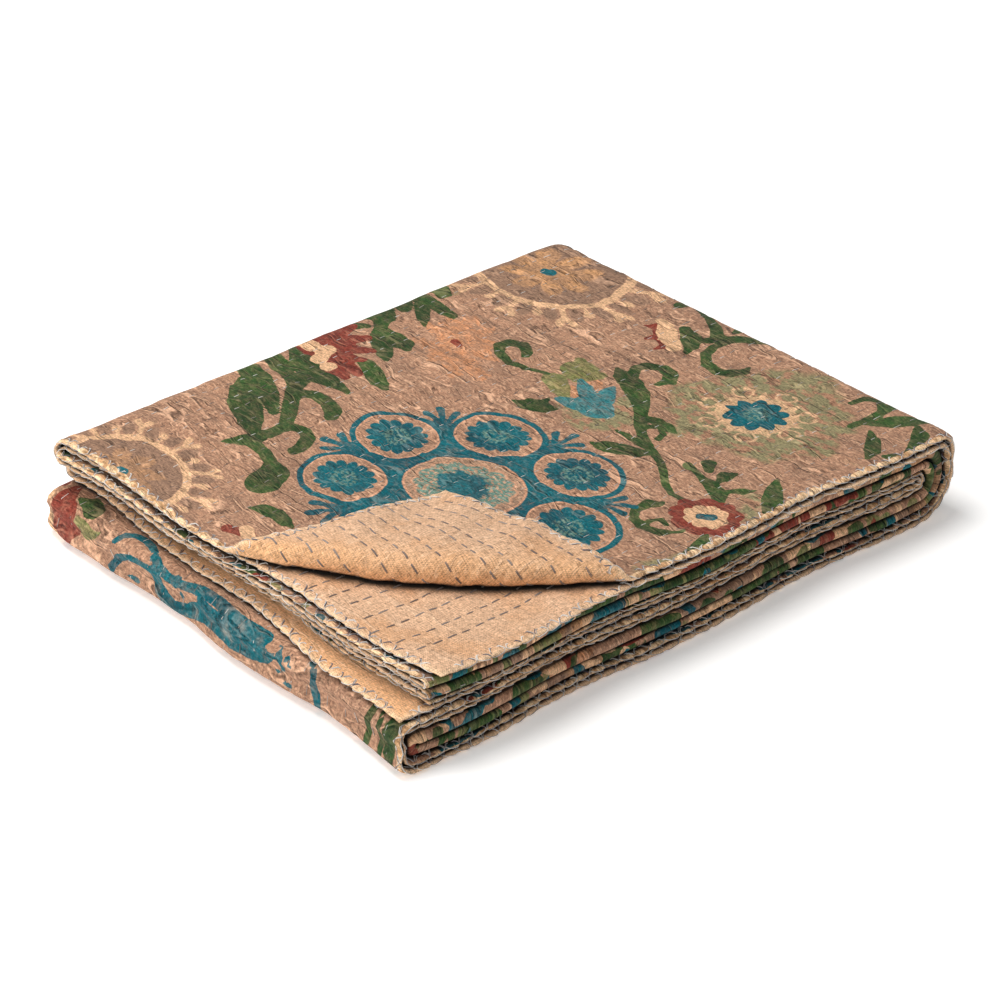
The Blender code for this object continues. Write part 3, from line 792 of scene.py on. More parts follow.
printRepeats = [   # from x, to x, and how far the top's pattern is moved along and across there
    (-1.0, 0.205, 0.0, 0.0), (0.205, 0.43, 0.41, 0.03), (0.43, 0.83, 0.640, 0.040),
    (0.83, 1.24, 1.05, -0.02), (1.24, 9.0, 1.46, 0.0),
]
printRepeatAcross = 0.345


def onOrbit(reach, angle):
    # a place round the cluster of roundels; reach is 1 on the ring of their centres
    (x, y), (sizeX, sizeY) = roundTile["clusterCentre"], roundTile["orbit"]
    return x + sizeX * reach * math.cos(angle), y + sizeY * reach * math.sin(angle)


def roundelAngle(index):
    return math.radians(roundTile["firstAngle"] - index * 360 / roundTile["roundels"])


def roundelPlaces():
    t = roundTile
    ring = [(*onOrbit(1, roundelAngle(index)), *t["roundelSize"], 0.0) for index in range(t["roundels"])]
    return [(*t["clusterCentre"], *t["centreSize"], 1.0)] + ring


def clusterStrokes():
    t = roundTile
    turns = [2 * math.pi * step / t["groundSteps"] for step in range(t["groundSteps"] + 1)]
    strokes = [("teal", [(*onOrbit(t["groundAt"], turn), t["groundWidth"]) for turn in turns])]
    for index in range(t["roundels"]):
        angle = roundelAngle(index + 0.5)
        for lean, length, width in t["crown"]:
            points = []
            for share in (0.0, 0.5, 1.0):
                reach = 1.06 + length * share - 0.06 * share * share * abs(lean)
                turn = angle + lean * (0.06 + 0.15 * share * share)
                points.append((*onOrbit(reach, turn), width + (1.0 if share == 1.0 else 0)))
            strokes.append(("teal", points))
        strokes.append(("teal", [(*onOrbit(0.96, angle), 7.0), (*onOrbit(1.10, angle), 4.2)]))
    return strokes


def ringOfPetals(ink, x, y, count, distance, petal, turn=0.0):
    strokes = []
    for index in range(count):
        angle = turn + 2 * math.pi * index / count
        tip = (x + distance * math.cos(angle), y + 1.05 * distance * math.sin(angle), petal)
        strokes.append((ink, [(x, y, petal), tip]))
    return strokes


def allStrokes():
    strokes = clusterStrokes()
    for motif in printStrokes.values():
        strokes += [(ink, stroke) for ink, drawn in motif.items() for stroke in drawn]
    strokes += ringOfPetals("red", 31, -137, 9, 14, 6.2) + ringOfPetals("cream", 31, -137, 8, 8.5, 4.0, 0.3)
    strokes.append(("teal", [(30, -135, 3.4), (33, -139, 3.6)]))
    return strokes


def printPlace(flat):
    # where a point of the cloth falls on the pattern, in millimetres
    u, v = flat.T
    x, y = u - foldedLength / 2 + shift[0], v - foldedWidth / 2 + shift[1]
    x = x - 0.0085 * smooth((0.39 - x / foldedLength) / 0.52)
    y = y - 0.0070 * smooth((0.40 - y / foldedWidth) / 0.40) * (y < 0.2)
    movedX, movedY = x.copy(), y.copy()
    for low, high, alongBy, acrossBy in printRepeats:
        here = (x >= low) & (x < high)
        movedX[here] -= alongBy
        movedY[here] -= acrossBy
    # round the left fold it is told in true distance over the cloth
    low, high = lengthStarts[3], lengthStarts[4]
    stretch = (1.5 * layerPitch + clothSheets["showingOffset"]) / (0.5 * passPitch)
    onFold = (u > low - 0.015) & (u < high + 0.035)
    movedX[onFold] = (u - low + stretch * (np.clip(u, low, high) - low) - 0.300)[onFold]
    movedY[onFold] = y[onFold]
    half = printRepeatAcross / 2
    return np.stack([movedX, (movedY + half) % printRepeatAcross - half], axis=-1) * 1000


def strokeDistance(place, stroke):
    # distance to a stroke's outline, in millimetres, less than 0 inside it
    points = np.array(stroke, float)
    if len(points) == 1:
        points = np.concatenate([points, points])
    best = np.full(len(place), 99.0)
    for start, end in zip(points[:-1], points[1:]):
        along = end[:2] - start[:2]
        length = max(float(along @ along), 1e-9)
        share = np.clip((place - start[:2]) @ along / length, 0.0, 1.0)
        gap = np.linalg.norm(place - start[:2] - share[:, None] * along, axis=1)
        best = np.minimum(best, gap - (start[2] + share * (end[2] - start[2])))
    return best


# painted shade in the crevices: the rays cast over each showing point, and how far the colour is darkened where cloth
# shuts them off
crevices = {
    "reach": 0.013, "lift": 0.0004,
    "rings": ((3, 0.45, 0.0), (6, 0.86, 0.5)),   # rays, how far they lean, turn
    "from": 0.32, "to": 0.74, "darkest": 0.04,
}


def paintShadeInCrevices(sheets):
    # how much of the air over each showing point is shut off by cloth close by, from 0 to 1; the cotton's colour is
    # darkened by it as painted shade
    c = crevices
    points, faces, given = [], [], []
    for piece, showingPart in sheets:
        mesh = piece.data
        faces.append(getValues(mesh.loops, "vertex_index", kind=int).reshape(-1, 3) + sum(map(len, points)))
        points.append(getValues(mesh.vertices, "co", 3))
        facing, edges = getValues(mesh.vertices, "normal", 3), getValues(mesh.edges, "vertices", 2, int)
        given.append((piece, showingPart, facing, edges))
    cloth = BVHTree.FromPolygons(np.concatenate(points).tolist(), np.concatenate(faces).tolist())
    for place, (piece, showingPart, facing, edges) in zip(points, given):
        near = np.zeros(len(place))
        sideways = np.cross(facing, np.where(np.abs(facing[:, 2:]) < 0.9, (0.0, 0.0, 1.0), (1.0, 0.0, 0.0)))
        sideways /= np.linalg.norm(sideways, axis=1)[:, None] + 1e-12
        upward = np.cross(facing, sideways)
        origins = (place + c["lift"] * facing)[showingPart].tolist()
        total = np.zeros(len(origins))
        for count, lean, turn in c["rings"]:
            for index in range(count):
                angle = 2 * math.pi * (index + turn) / count
                leaning = math.cos(angle) * sideways + math.sin(angle) * upward
                rays = (math.sqrt(1 - lean * lean) * facing + lean * leaning)[showingPart].tolist()
                hits = [cloth.ray_cast(origin, ray, c["reach"])[3] for origin, ray in zip(origins, rays)]
                total += np.array([0.0 if hit is None else 1.0 - (hit / c["reach"]) ** 2 for hit in hits])
        near[showingPart] = total / sum(ring[0] for ring in c["rings"])
        # each point is evened out with its neighbours
        for _ in range(2):
            summed, shared = near.copy(), np.ones(len(near))
            for a, b in (edges.T, edges[:, ::-1].T):
                np.add.at(summed, a, near[b])
                np.add.at(shared, a, 1.0)
            near = summed / shared
        setValues(piece, "paintedCreviceShade", near)
    print("crevices shaded")


hiddenMotifs = [   # ink, how rare, size along and across
    ("green", 0.48, 0.012, 0.014), ("teal", 0.54, 0.010, 0.013), ("olive", 0.54, 0.011, 0.014),
    ("cream", 0.50, 0.010, 0.012), ("red", 0.64, 0.010, 0.012),
]


def printInks(piece, flat, corners):
    place = printPlace(flat)
    far = 8.0
    names = ("green", "red", "cream", "peach", "teal", "blue", "olive", "haze")
    inks = {ink: np.full(len(place), far) for ink in names}
    for ink, stroke in allStrokes():
        points = np.array(stroke, float)
        margin = points[:, 2].max() + far
        low, high = points[:, :2].min(0) - margin, points[:, :2].max(0) + margin
        near = np.all((place > low) & (place < high), axis=1)
        inks[ink][near] = np.minimum(inks[ink][near], strokeDistance(place[near], stroke))
    # motifs that the front folds and the hidden hems cut through
    u, v = flat.T
    onLeftFold = (u > lengthStarts[3] - 0.015) & (u < lengthStarts[4] + 0.035)
    inTheOpen = (v < widthStarts[1] - 0.003) & ((u < lengthStarts[1] + 0.01) | onLeftFold)
    inTheOpen = inTheOpen | ((v < widthStarts[2] + 0.002) & (u < lengthStarts[1]))
    middleFold = 0.5 * (widthStarts[3] + widthStarts[4])
    fromEdge = np.minimum.reduce([v, np.abs(v - middleFold), pathWidth - v, u, pathLength - 0.015 - u])
    inside = far * np.clip((fromEdge - 0.008) / 0.008, 0.0, 1.0)
    for index, (ink, limit, sizeU, sizeV) in enumerate(hiddenMotifs):
        patch = softNoise(u / sizeU, v / sizeV, 40 + index) + 0.35 * softNoise(u / 0.007, v / 0.007, 50 + index)
        inks[ink] = np.where(inTheOpen, inks[ink], np.minimum(inks[ink], (limit - patch) * 12.0 + inside))
    for ink, distance in inks.items():
        setValues(piece, ink + "Ink", distance)
    edge = hemDistance(u, v) * 1000 - 0.9 * whipPuff(u, v)
    # in places the hidden hems have hardly any of the plain cloth turned over them
    edge = edge + np.where(inTheOpen, 0.0, 2.2 * smooth(0.5 + 1.6 * softNoise(u / 0.030, v / 0.030, 60)))
    setValues(piece, "hemEdge", np.minimum(edge, far))
    # round motifs: each triangle takes its place in the nearest one
    corner = place[corners].reshape(-1, 3, 2)
    middle = corner.mean(axis=1)
    for kind, motifs in {"roundel": roundelPlaces(), **roundMotifs}.items():
        best = np.full(len(middle), 1e9)
        local = np.full((len(middle), 3, 3), 9.0)
        for x, y, halfWidth, halfHeight, worn in motifs:
            size = np.array([halfWidth, halfHeight])
            distance = np.linalg.norm((middle - (x, y)) / size, axis=1)
            closer = distance < best
            best = np.where(closer, distance, best)
            local[closer, :, :2] = (corner[closer] - (x, y)) / size
            local[closer, :, 2] = worn
        setValues(piece, kind + "Place", local, "FLOAT_VECTOR", "CORNER")


printInks(printedCloth, printedFlat, printedCorners)
paintShadeInCrevices([(printedCloth, slice(0, -insideCount)), (plainCloth, slice(insideCount, None))])
print("print laid out:", len(allStrokes()), "strokes")


# the materials
class NodeValue:
    # a value that runs through a node tree: a sum done on it adds the maths node
    def __init__(self, tree, socket):
        self.tree, self.socket = tree, socket

    def apply(self, operation, *others, clamp=False):
        return mathsNode(self.tree, operation, self, *others, clamp=clamp)

    def __add__(self, other):
        return self.apply("ADD", other)

    def __sub__(self, other):
        return self.apply("SUBTRACT", other)

    def __rsub__(self, other):
        return mathsNode(self.tree, "SUBTRACT", other, self)

    def __mul__(self, other):
        return self.apply("MULTIPLY", other)

    def __truediv__(self, other):
        return self.apply("DIVIDE", other)

    def __pow__(self, other):
        return self.apply("POWER", other)

    def __abs__(self):
        return self.apply("ABSOLUTE")


def addNode(tree, kind, inputs=None, **settings):
    node = tree.nodes.new(kind)
    for key, value in settings.items():
        setattr(node, key, value)
    for key, value in (inputs or {}).items():
        value = value.socket if isinstance(value, NodeValue) else value
        if isinstance(value, bpy.types.NodeSocket):
            tree.links.new(value, node.inputs[key])
        else:
            node.inputs[key].default_value = value
    return node


def mathsNode(tree, operation, *values, clamp=False):
    node = addNode(tree, "ShaderNodeMath", dict(enumerate(values)), operation=operation)
    node.use_clamp = clamp
    return NodeValue(tree, node.outputs[0])


def outputsOf(node, tree):
    return {output.name: NodeValue(tree, output) for output in node.outputs}


def fade(value, low, high, toLow=0.0, toHigh=1.0):
    limits = {"From Min": low, "From Max": high, "To Min": toLow, "To Max": toHigh}
    node = addNode(value.tree, "ShaderNodeMapRange", {"Value": value, **limits}, interpolation_type="SMOOTHSTEP")
    return NodeValue(value.tree, node.outputs["Result"])


def band(value, low, high, soft):
    return fade(value, low - soft, low + soft) * fade(value, high + soft, high - soft)


def largest(first, *others):
    for other in others:
        first = first.apply("MAXIMUM", other)
    return first


def mixColours(under, over, share):
    under, over = ((*colour, 1) if isinstance(colour, tuple) else colour for colour in (under, over))
    node = addNode(share.tree, "ShaderNodeMix", {0: share, 6: under, 7: over}, data_type="RGBA")
    return NodeValue(share.tree, node.outputs[2])


def screenColour(*channels):
    # the colour that a screen shows as so much red, green and blue, from 0 to 255
    shares = [channel / 255 for channel in channels]
    return tuple(share / 12.92 if share <= 0.0393 else ((share + 0.055) / 1.055) ** 2.4 for share in shares)


def noiseAt(place, detail, roughness):
    inputs = {"Vector": place, "Scale": 1.0, "Detail": detail, "Roughness": roughness}
    return outputsOf(addNode(place.tree, "ShaderNodeTexNoise", inputs, noise_dimensions="2D"), place.tree)["Fac"]


def stretchedNoise(place, scaleU, scaleV, detail=2.0, roughness=0.5, seed=0.0):
    moved = {"Vector": place, "Location": (seed, seed * 0.7, seed * 1.3), "Scale": (scaleU, scaleV, 1.0)}
    mapping = addNode(place.tree, "ShaderNodeMapping", moved)
    return noiseAt(NodeValue(place.tree, mapping.outputs[0]), detail, roughness)


def attribute(tree, name, output="Fac"):
    return NodeValue(tree, addNode(tree, "ShaderNodeAttribute", attribute_name=name).outputs[output])


def splitUp(value):
    node = addNode(value.tree, "ShaderNodeSeparateXYZ", {0: value})
    return [NodeValue(value.tree, output) for output in node.outputs]


def startGroup(name, inputs, outputs):
    # a shader group: its tree, what it is given, and its place along and across the cloth
    group = bpy.data.node_groups.new(name, "ShaderNodeTree")
    group.interface.new_socket("Place", in_out="INPUT", socket_type="NodeSocketVector")
    for label, value in inputs.items():
        socket = group.interface.new_socket(label, in_out="INPUT", socket_type="NodeSocketFloat")
        socket.default_value = value
    for label in outputs:
        group.interface.new_socket(label, in_out="OUTPUT", socket_type="NodeSocketFloat")
    given = outputsOf(group.nodes.new("NodeGroupInput"), group)
    alongCloth, acrossCloth, _ = splitUp(given["Place"])
    return group, given, alongCloth, acrossCloth


def endGroup(group, results):
    ending = group.nodes.new("NodeGroupOutput")
    for label, value in results.items():
        group.links.new(value.socket, ending.inputs[label])
    return group


def makeWeaveGroup():
    # plain weave and slubs: Height to bump with, Tone to colour with
    inputs = {"Threads": 1400.0, "Slub": 0.35}
    group, given, alongCloth, acrossCloth = startGroup("cottonWeave", inputs, ("Height", "Tone"))
    place, turns = given["Place"], given["Threads"] * 6.2832
    wander = stretchedNoise(place, 90, 90, 1.0) * 6.0
    cells = (alongCloth * turns + wander).apply("SINE") * (acrossCloth * turns + wander).apply("SINE")
    slubs = stretchedNoise(place, 260, 1500, 2.0, 0.6, 3.0)
    slubs = slubs + stretchedNoise(place, 1500, 260, 2.0, 0.6, 7.0)
    return endGroup(group, {
        "Height": cells * 0.25 + slubs * given["Slub"],
        "Tone": cells * 0.10 + (slubs - 1.0) * given["Slub"],
    })


crinkles = {
    "sway": 0.010, "crestLift": 0.16,
    "levels": (   # size, width of a crest, seed, strength
        (0.55, 0.012, 1.0, 1.0), (1.3, 0.020, 6.0, 0.9), (3.0, 0.034, 12.0, 0.50), (5.6, 0.05, 18.0, 0.35),
    ),
}


def makeCrinkleGroup():
    # crinkles across the rows of stitches: Height, a crest worn pale and given a painted highlight, and painted shade
    # in the groove beside it
    inputs = {"Along": 115.0, "Across": 13.0}
    group, given, alongCloth, acrossCloth = startGroup("crinkleAndPaintedLight", inputs, ("Height", "Light", "PaintedGrooveShade"))
    place = given["Place"]
    bent = (stretchedNoise(place, 55, 32, 2.0) - 0.5) * crinkles["sway"] + alongCloth
    height, lights, paintedGrooveShades = None, [], []
    for size, width, seed, strength in crinkles["levels"]:
        along = bent * given["Along"] * size
        across = acrossCloth * given["Across"] * (size * (0.7 + 0.45 * size)) + seed
        at = outputsOf(addNode(group, "ShaderNodeCombineXYZ", {0: along, 1: across}), group)["Vector"]
        ridges = noiseAt(at, 1.5, 0.5)
        gate = fade(stretchedNoise(place, 95 * size, 60 * size, 1.0, 0.5, seed), 0.44, 0.56, 0.0, strength)
        # the crest is worn pale and painted with a highlight; the groove beside it is painted shade
        crest = fade(abs(ridges - 0.5), width * 1.6, width * 0.5) * gate
        groove = band(ridges, 0.5 + width * 1.5, 0.5 + width * 3.2, width * 0.8) * gate
        raised = (ridges + (crest - groove) * crinkles["crestLift"]) / size
        height = raised if height is None else height + raised
        lights.append(crest)
        paintedGrooveShades.append(groove)
    return endGroup(group, {"Height": height, "Light": largest(*lights), "PaintedGrooveShade": largest(*paintedGrooveShades)})


weaveGroup = makeWeaveGroup()
crinkleGroup = makeCrinkleGroup()


def newMaterial(name):
    material = bpy.data.materials.new(name)
    material.use_nodes = True
    return material, material.node_tree, material.node_tree.nodes["Principled BSDF"].inputs


def startCotton(name, look):
    material, tree, _ = newMaterial(name)
    place = NodeValue(tree, addNode(tree, "ShaderNodeUVMap", uv_map="flatCloth").outputs["UV"])
    threads = {"Place": place, "Threads": look["threads"], "Slub": look["slub"]}
    weave = outputsOf(addNode(tree, "ShaderNodeGroup", threads, node_tree=weaveGroup), tree)
    crinkle = outputsOf(addNode(tree, "ShaderNodeGroup", {"Place": place}, node_tree=crinkleGroup), tree)
    return material, tree, place, weave, crinkle


def finishCotton(material, look, colour, place, weave, crinkle):
    # crests worn pale and given a painted highlight, painted shade in the grooves beside them, grain, weave and
    # crinkles, and painted shade in the crevices
    tree, shader = material.node_tree, material.node_tree.nodes["Principled BSDF"].inputs
    # the crests take a paler colour: worn, and a painted highlight
    colour = mixColours(colour, look["crest"], crinkle["Light"] * look["crestWearAndHighlightMix"])
    grain = stretchedNoise(place, 1050, 430, 3.0, 0.7, 21.0) - 0.5
    tone = grain * look["grainShare"] + (weave["Tone"] * look["weaveShare"] + 1.0)
    # the crests are lightened by wear and a painted highlight, and the grooves darkened with painted shade
    tone = crinkle["PaintedGrooveShade"] * look["grooveShadeShare"] + (crinkle["Light"] * look["crestWearAndHighlightShare"] + tone)
    # painted shade: the colour darkens where cloth close by shuts off the air
    tone = tone * fade(attribute(tree, "paintedCreviceShade"), crevices["from"], crevices["to"], 1.0, crevices["darkest"])
    toned = addNode(tree, "ShaderNodeVectorMath", {0: colour, "Scale": tone}, operation="SCALE")
    tree.links.new(toned.outputs[0], shader["Base Color"])
    shader["Roughness"].default_value = look["roughness"]
    shader["Sheen Weight"].default_value = 0.05
    shader["Specular IOR Level"].default_value = 0.15
    depth, strength = look["crinkleBump"]
    bumped = addNode(tree, "ShaderNodeBump", {"Height": crinkle["Height"], "Distance": depth, "Strength": strength})
    depth, strength = look["weaveBump"]
    woven = {"Height": weave["Height"], "Distance": depth, "Strength": strength, "Normal": bumped.outputs[0]}
    tree.links.new(addNode(tree, "ShaderNodeBump", woven).outputs[0], shader["Normal"])
    return material


printedLook = {
    "ground": screenColour(172, 130, 104), "groundDark": screenColour(142, 108, 88),
    "crest": screenColour(218, 176, 144), "rosy": screenColour(176, 114, 92), "disc": screenColour(142, 112, 92),
    "teal": screenColour(2, 98, 108), "tealDark": screenColour(2, 80, 92), "sage": screenColour(108, 140, 126),
    "green": screenColour(54, 86, 40), "greenDark": screenColour(38, 66, 31), "olive": screenColour(106, 118, 66),
    "haze": screenColour(140, 134, 98), "red": screenColour(130, 56, 44), "peach": screenColour(206, 142, 100),
    "blue": screenColour(44, 120, 126), "gold": screenColour(202, 150, 104), "cream": screenColour(222, 178, 138),
    "turnedHem": screenColour(246, 210, 168), "turnedDark": screenColour(194, 150, 108),
    "edging": screenColour(208, 154, 122),
    "softEdge": 0.16, "wobble": 0.4, "roughness": 0.86, "threads": 1100, "slub": 0.35,
    # crests lightened by wear and a painted highlight, grooves darkened with painted shade
    "crestWearAndHighlightMix": 0.10, "weaveShare": 2.4, "crestWearAndHighlightShare": 0.46, "grooveShadeShare": -0.50, "grainShare": 1.7,
    "crinkleBump": (0.0024, 1.0), "weaveBump": (0.0004, 0.8),   # depth, strength
    "flatInks": (   # ink, softness of its edge, wear from and to, and what share of it is left there
        ("olive", 2, 0.30, 0.60, 0.95, 0.70), ("green", 1, 0.35, 0.75, 1.0, 0.82),
        ("red", 1, 0.40, 0.75, 1.0, 0.80), ("cream", 1, 0.40, 0.75, 1.0, 0.85),
        ("blue", 2, 0.35, 0.70, 1.0, 0.75), ("teal", 1, 0.42, 0.78, 1.0, 0.75),
    ),
}


def inkMask(tree, ink, wobble, soft, inset=0.0):
    return fade(attribute(tree, ink + "Ink") + wobble, inset + soft, inset - soft)


def polar(tree, name, wobble):
    # how far out from the nearest round motif's centre, the direction, and the motif's own value
    x, y, own = splitUp(attribute(tree, name, "Vector"))
    return (x * x + y * y).apply("SQRT") + wobble, y.apply("ARCTAN2", x), own


def scallops(angle, count):
    # 1 at the middle of each of count petals round a circle, 0 between them
    return abs((angle * (count / 2)).apply("COSINE"))


def printGround(tree, look, cloth, light):
    # the brown ground, with the soft inks of the background
    ground = mixColours(look["ground"], look["groundDark"], fade(cloth["blotch"], 0.40, 0.68, 0.0, 0.55))
    ground = mixColours(ground, look["crest"], fade(cloth["flecks"], 0.54, 0.72, 0.0, 0.45))
    # the crinkles' crests are lightened: worn, and a painted highlight
    ground = mixColours(ground, look["crest"], light * 0.40)
    haze = inkMask(tree, "haze", (cloth["blotch"] - 0.5) * 22, 3.5, 1.0)
    colour = mixColours(ground, look["rosy"], haze * 0.6)
    colour = mixColours(colour, look["haze"], haze * fade(cloth["patches"], 0.38, 0.52, 0.25, 0.95))
    peach = inkMask(tree, "peach", (cloth["wear"] - 0.5) * 14, 1.0, 0.5)
    return ground, mixColours(colour, look["peach"], peach * fade(cloth["wear"], 0.35, 0.60, 0.85, 0.30))


sunburst = {   # in radii of the disc
    "stems": 11, "rim": (1.0, 1.14), "stemEnds": 1.66, "budEnds": 1.42,
    "starPoints": 8, "wornLoss": -0.35, "dot": (0.135, 0.11),
}


def printSunbursts(tree, look, cloth, colour):
    # a worn disc with a faded star and a dot, in a ring of stems and buds
    s = sunburst
    radius, angle, worn = polar(tree, "sunburstPlace", cloth["wobble"] * 0.022)
    away = abs((angle * (s["stems"] / (2 * math.pi))).apply("FRACT") * 2.0 - 1.0)
    arc = radius * (math.pi / s["stems"])
    fromStem, fromBud = (1.0 - away) * arc, away * arc
    stemWidth = fade(radius, 1.36, 1.58) * 0.115 + 0.042
    stem = fade(fromStem - stemWidth, 0.012, -0.012) * band(radius, 1.05, s["stemEnds"], 0.02)
    stem = stem * fade(fromStem - fade(radius, 1.46, 1.68) * 0.075, -0.02, 0.005)
    budWidth = band(radius, 1.27, 1.39, 0.06) * 0.05 + 0.030
    bud = fade(fromBud - budWidth, 0.012, -0.012) * band(radius, 1.05, s["budEnds"], 0.03)
    flame = largest(band(radius, *s["rim"], 0.012), stem, bud)
    # a round hollow between each stem and bud
    hollow = (abs(away - 0.5) * arc / 0.105) ** 2.0 + ((radius - 1.32) / 0.21) ** 2.0
    disc = fade(radius, 1.02, 0.98) * 0.85
    colour = mixColours(colour, look["disc"], largest(disc, fade(hollow, 1.1, 0.8, 0.0, 0.8)))
    starEdge = scallops(angle, s["starPoints"]) ** 0.6 * 0.42 + 0.30
    star = fade(starEdge - (cloth["wear"] * 0.2 + (radius - 0.1)), -0.05, 0.07)
    star = star * fade(cloth["patches"], 0.32, 0.60, 0.95, 0.45) * (worn * s["wornLoss"] + 1.0)
    colour = mixColours(colour, look["gold"], star)
    colour = mixColours(colour, look["cream"], flame * fade(cloth["wear"], 0.30, 0.52, 0.6, 0.95))
    return mixColours(colour, look["teal"], fade(radius, *s["dot"]))


def printFlatInks(tree, look, cloth, colour, tones):
    for ink, softness, low, high, most, least in look["flatInks"]:
        mask = inkMask(tree, ink, cloth["wobble"], look["softEdge"] * softness)
        colour = mixColours(colour, tones.get(ink, look[ink]), mask * fade(cloth["wear"], low, high, most, least))
    return colour


laceFlower = {   # in radii of the collar's middle
    "curls": 7, "petals": 10, "collar": (0.8, 1.24), "curlOut": 1.54, "curlBand": (0.255, 0.345),
}


def printLace(tree, look, cloth, colour, teal):
    # a petalled rosette in a cream collar with pairs of curls
    s = laceFlower
    radius, angle, _ = polar(tree, "lacePlace", cloth["wobble"] * 0.05)
    cell = (angle * (s["curls"] / (2 * math.pi)) + 0.35).apply("FRACT") * 2.0 - 1.0
    across = abs(cell * 0.66)
    loop = (across ** 2.0 + (radius - s["curlOut"]) ** 2.0).apply("SQRT")
    opening = fade(across, 0.12, 0.09) * fade(radius, 1.60, 1.64)
    curl = band(loop, *s["curlBand"], 0.022) * (1.0 - opening)
    ball = ((across - 0.13) ** 2.0 + (radius - 1.78) ** 2.0).apply("SQRT")
    spur = (1.56 - radius) * 0.55 - (0.66 - across)
    spur = fade(spur, -0.02, 0.02) * band(radius, 1.0, 1.56, 0.02)
    lace = largest(band(radius, *s["collar"], 0.03), curl, fade(ball, 0.10, 0.075), spur)
    colour = mixColours(colour, look["cream"], lace * fade(cloth["wear"], 0.35, 0.65, 0.95, 0.6))
    petals = scallops(angle, s["petals"]) * 0.26 + 0.76 - radius
    colour = mixColours(colour, teal, fade(petals, -0.02, 0.02))
    heart = fade(radius, 0.60, 0.25) * fade(cloth["flecks"], 0.42, 0.56, 0.85, 0.1)
    return mixColours(colour, look["sage"], heart)


def printRoundels(tree, look, cloth, colour, teal, ground):
    # a band of ground round a petalled rosette; the middle one is larger and faded
    radius, angle, large = polar(tree, "roundelPlace", cloth["wobble"] * 0.03)
    small, flecks = 1.0 - large, cloth["flecks"]
    colour = mixColours(colour, teal, fade(radius, 1.02, 0.99))
    rim = large * 0.06 + 0.875 - radius
    banded = largest(fade(rim, 0.05, 0.03), fade(flecks, 0.56, 0.66, 0.0, 0.6))
    colour = mixColours(colour, mixColours(ground, look["edging"], banded), fade(rim, -0.012, 0.012))
    petal = scallops(angle, roundTile["petals"])
    within = petal ** 0.7 * 0.13 + 0.545 - radius
    colour = mixColours(colour, teal, small * fade(within, -0.014, 0.014))
    veins = fade(petal, 0.16, 0.06) * band(radius, 0.40, 0.60, 0.02)
    spots = largest(fade(flecks, 0.50, 0.60), band(radius, 0.20, 0.27, 0.02) * fade(petal, 0.4, 0.7))
    heart = fade(radius, 0.36, 0.30) * spots
    colour = mixColours(colour, look["sage"], small * largest(veins * 0.35, heart * 0.75))
    # the large one: scallops of ground, then sage, then a teal heart
    scalloped = radius + petal * -0.07
    halo = mixColours(look["sage"], look["edging"], fade(flecks, 0.48, 0.62, 0.0, 0.75))
    halo = mixColours(halo, ground, fade(scalloped, 0.66, 0.76, 0.0, 0.85))
    halo = mixColours(halo, look["edging"], band(scalloped, 0.70, 0.75, 0.02) * 0.8)
    halo = mixColours(halo, teal, fade(cloth["patches"] * 0.5 + scalloped, 0.66, 0.56, 0.0, 0.95))
    return mixColours(colour, halo, large * fade(rim, 0.03, 0.06))


def makePrintedCotton():
    look = printedLook
    material, tree, place, weave, crinkle = startCotton("printedCotton", look)
    cloth = {
        "wobble": (stretchedNoise(place, 420, 300, 2.0, 0.6, 5.0) - 0.5) * (look["wobble"] * 2),
        "wear": stretchedNoise(place, 240, 130, 3.0, 0.65, 9.0),
        "flecks": stretchedNoise(place, 520, 330, 2.0, 0.6, 15.0),
        "patches": stretchedNoise(place, 150, 85, 3.0, 0.6, 12.0),
        "blotch": stretchedNoise(place, 38, 30, 3.0, 0.6, 2.0),
    }
    green = mixColours(look["green"], look["greenDark"], fade(cloth["blotch"], 0.35, 0.65))
    teal = mixColours(look["teal"], look["tealDark"], fade(cloth["blotch"], 0.40, 0.70))
    ground, colour = printGround(tree, look, cloth, crinkle["Light"])
    colour = printSunbursts(tree, look, cloth, colour)
    colour = printFlatInks(tree, look, cloth, colour, {"green": green, "teal": teal})
    colour = printLace(tree, look, cloth, colour, teal)
    colour = printRoundels(tree, look, cloth, colour, teal, ground)
    # the plain cloth is turned over the hem
    turned = fade(attribute(tree, "hemEdge") + cloth["wobble"], 2.2, 1.7)
    hemTone = mixColours(look["turnedHem"], look["turnedDark"], fade(cloth["wear"], 0.42, 0.62))
    return finishCotton(material, look, mixColours(colour, hemTone, turned), place, weave, crinkle)


plainLook = {
    "cloth": screenColour(213, 173, 140), "warm": screenColour(204, 150, 104),
    "crest": screenColour(232, 198, 166), "golden": screenColour(226, 173, 124),
    "hem": screenColour(240, 206, 168), "roughness": 0.88, "threads": 900, "slub": 0.5,
    # crests lightened by wear and a painted highlight, grooves darkened with painted shade
    "crestWearAndHighlightMix": 0.35, "weaveShare": 2.6, "crestWearAndHighlightShare": 0.06, "grooveShadeShare": -0.14, "grainShare": 0.6,
    "crinkleBump": (0.0007, 0.8), "weaveBump": (0.0003, 0.8),
}
goldenPlaces = {"pastCrease": 0.006, "wide": 0.017, "share": 0.75, "ledge": 0.030}


def warmGold(piece, flat):
    # the roll of the turned corner and the ledge of the second group are the most golden
    g = goldenPlaces
    u, v = flat.T
    roll = np.exp(-(((flapShare(u, v) - g["pastCrease"]) / g["wide"]) ** 2)) * (u < 0.17) * (v < 0.20)
    ledge = smooth((u - pathLength + g["ledge"] + 0.01) / 0.01) * (v < widthStarts[1])
    setValues(piece, "golden", g["share"] * np.maximum(roll, ledge))
    setValues(piece, "hemShare", smooth(1.0 - hemDistance(u, v) / 0.0035))


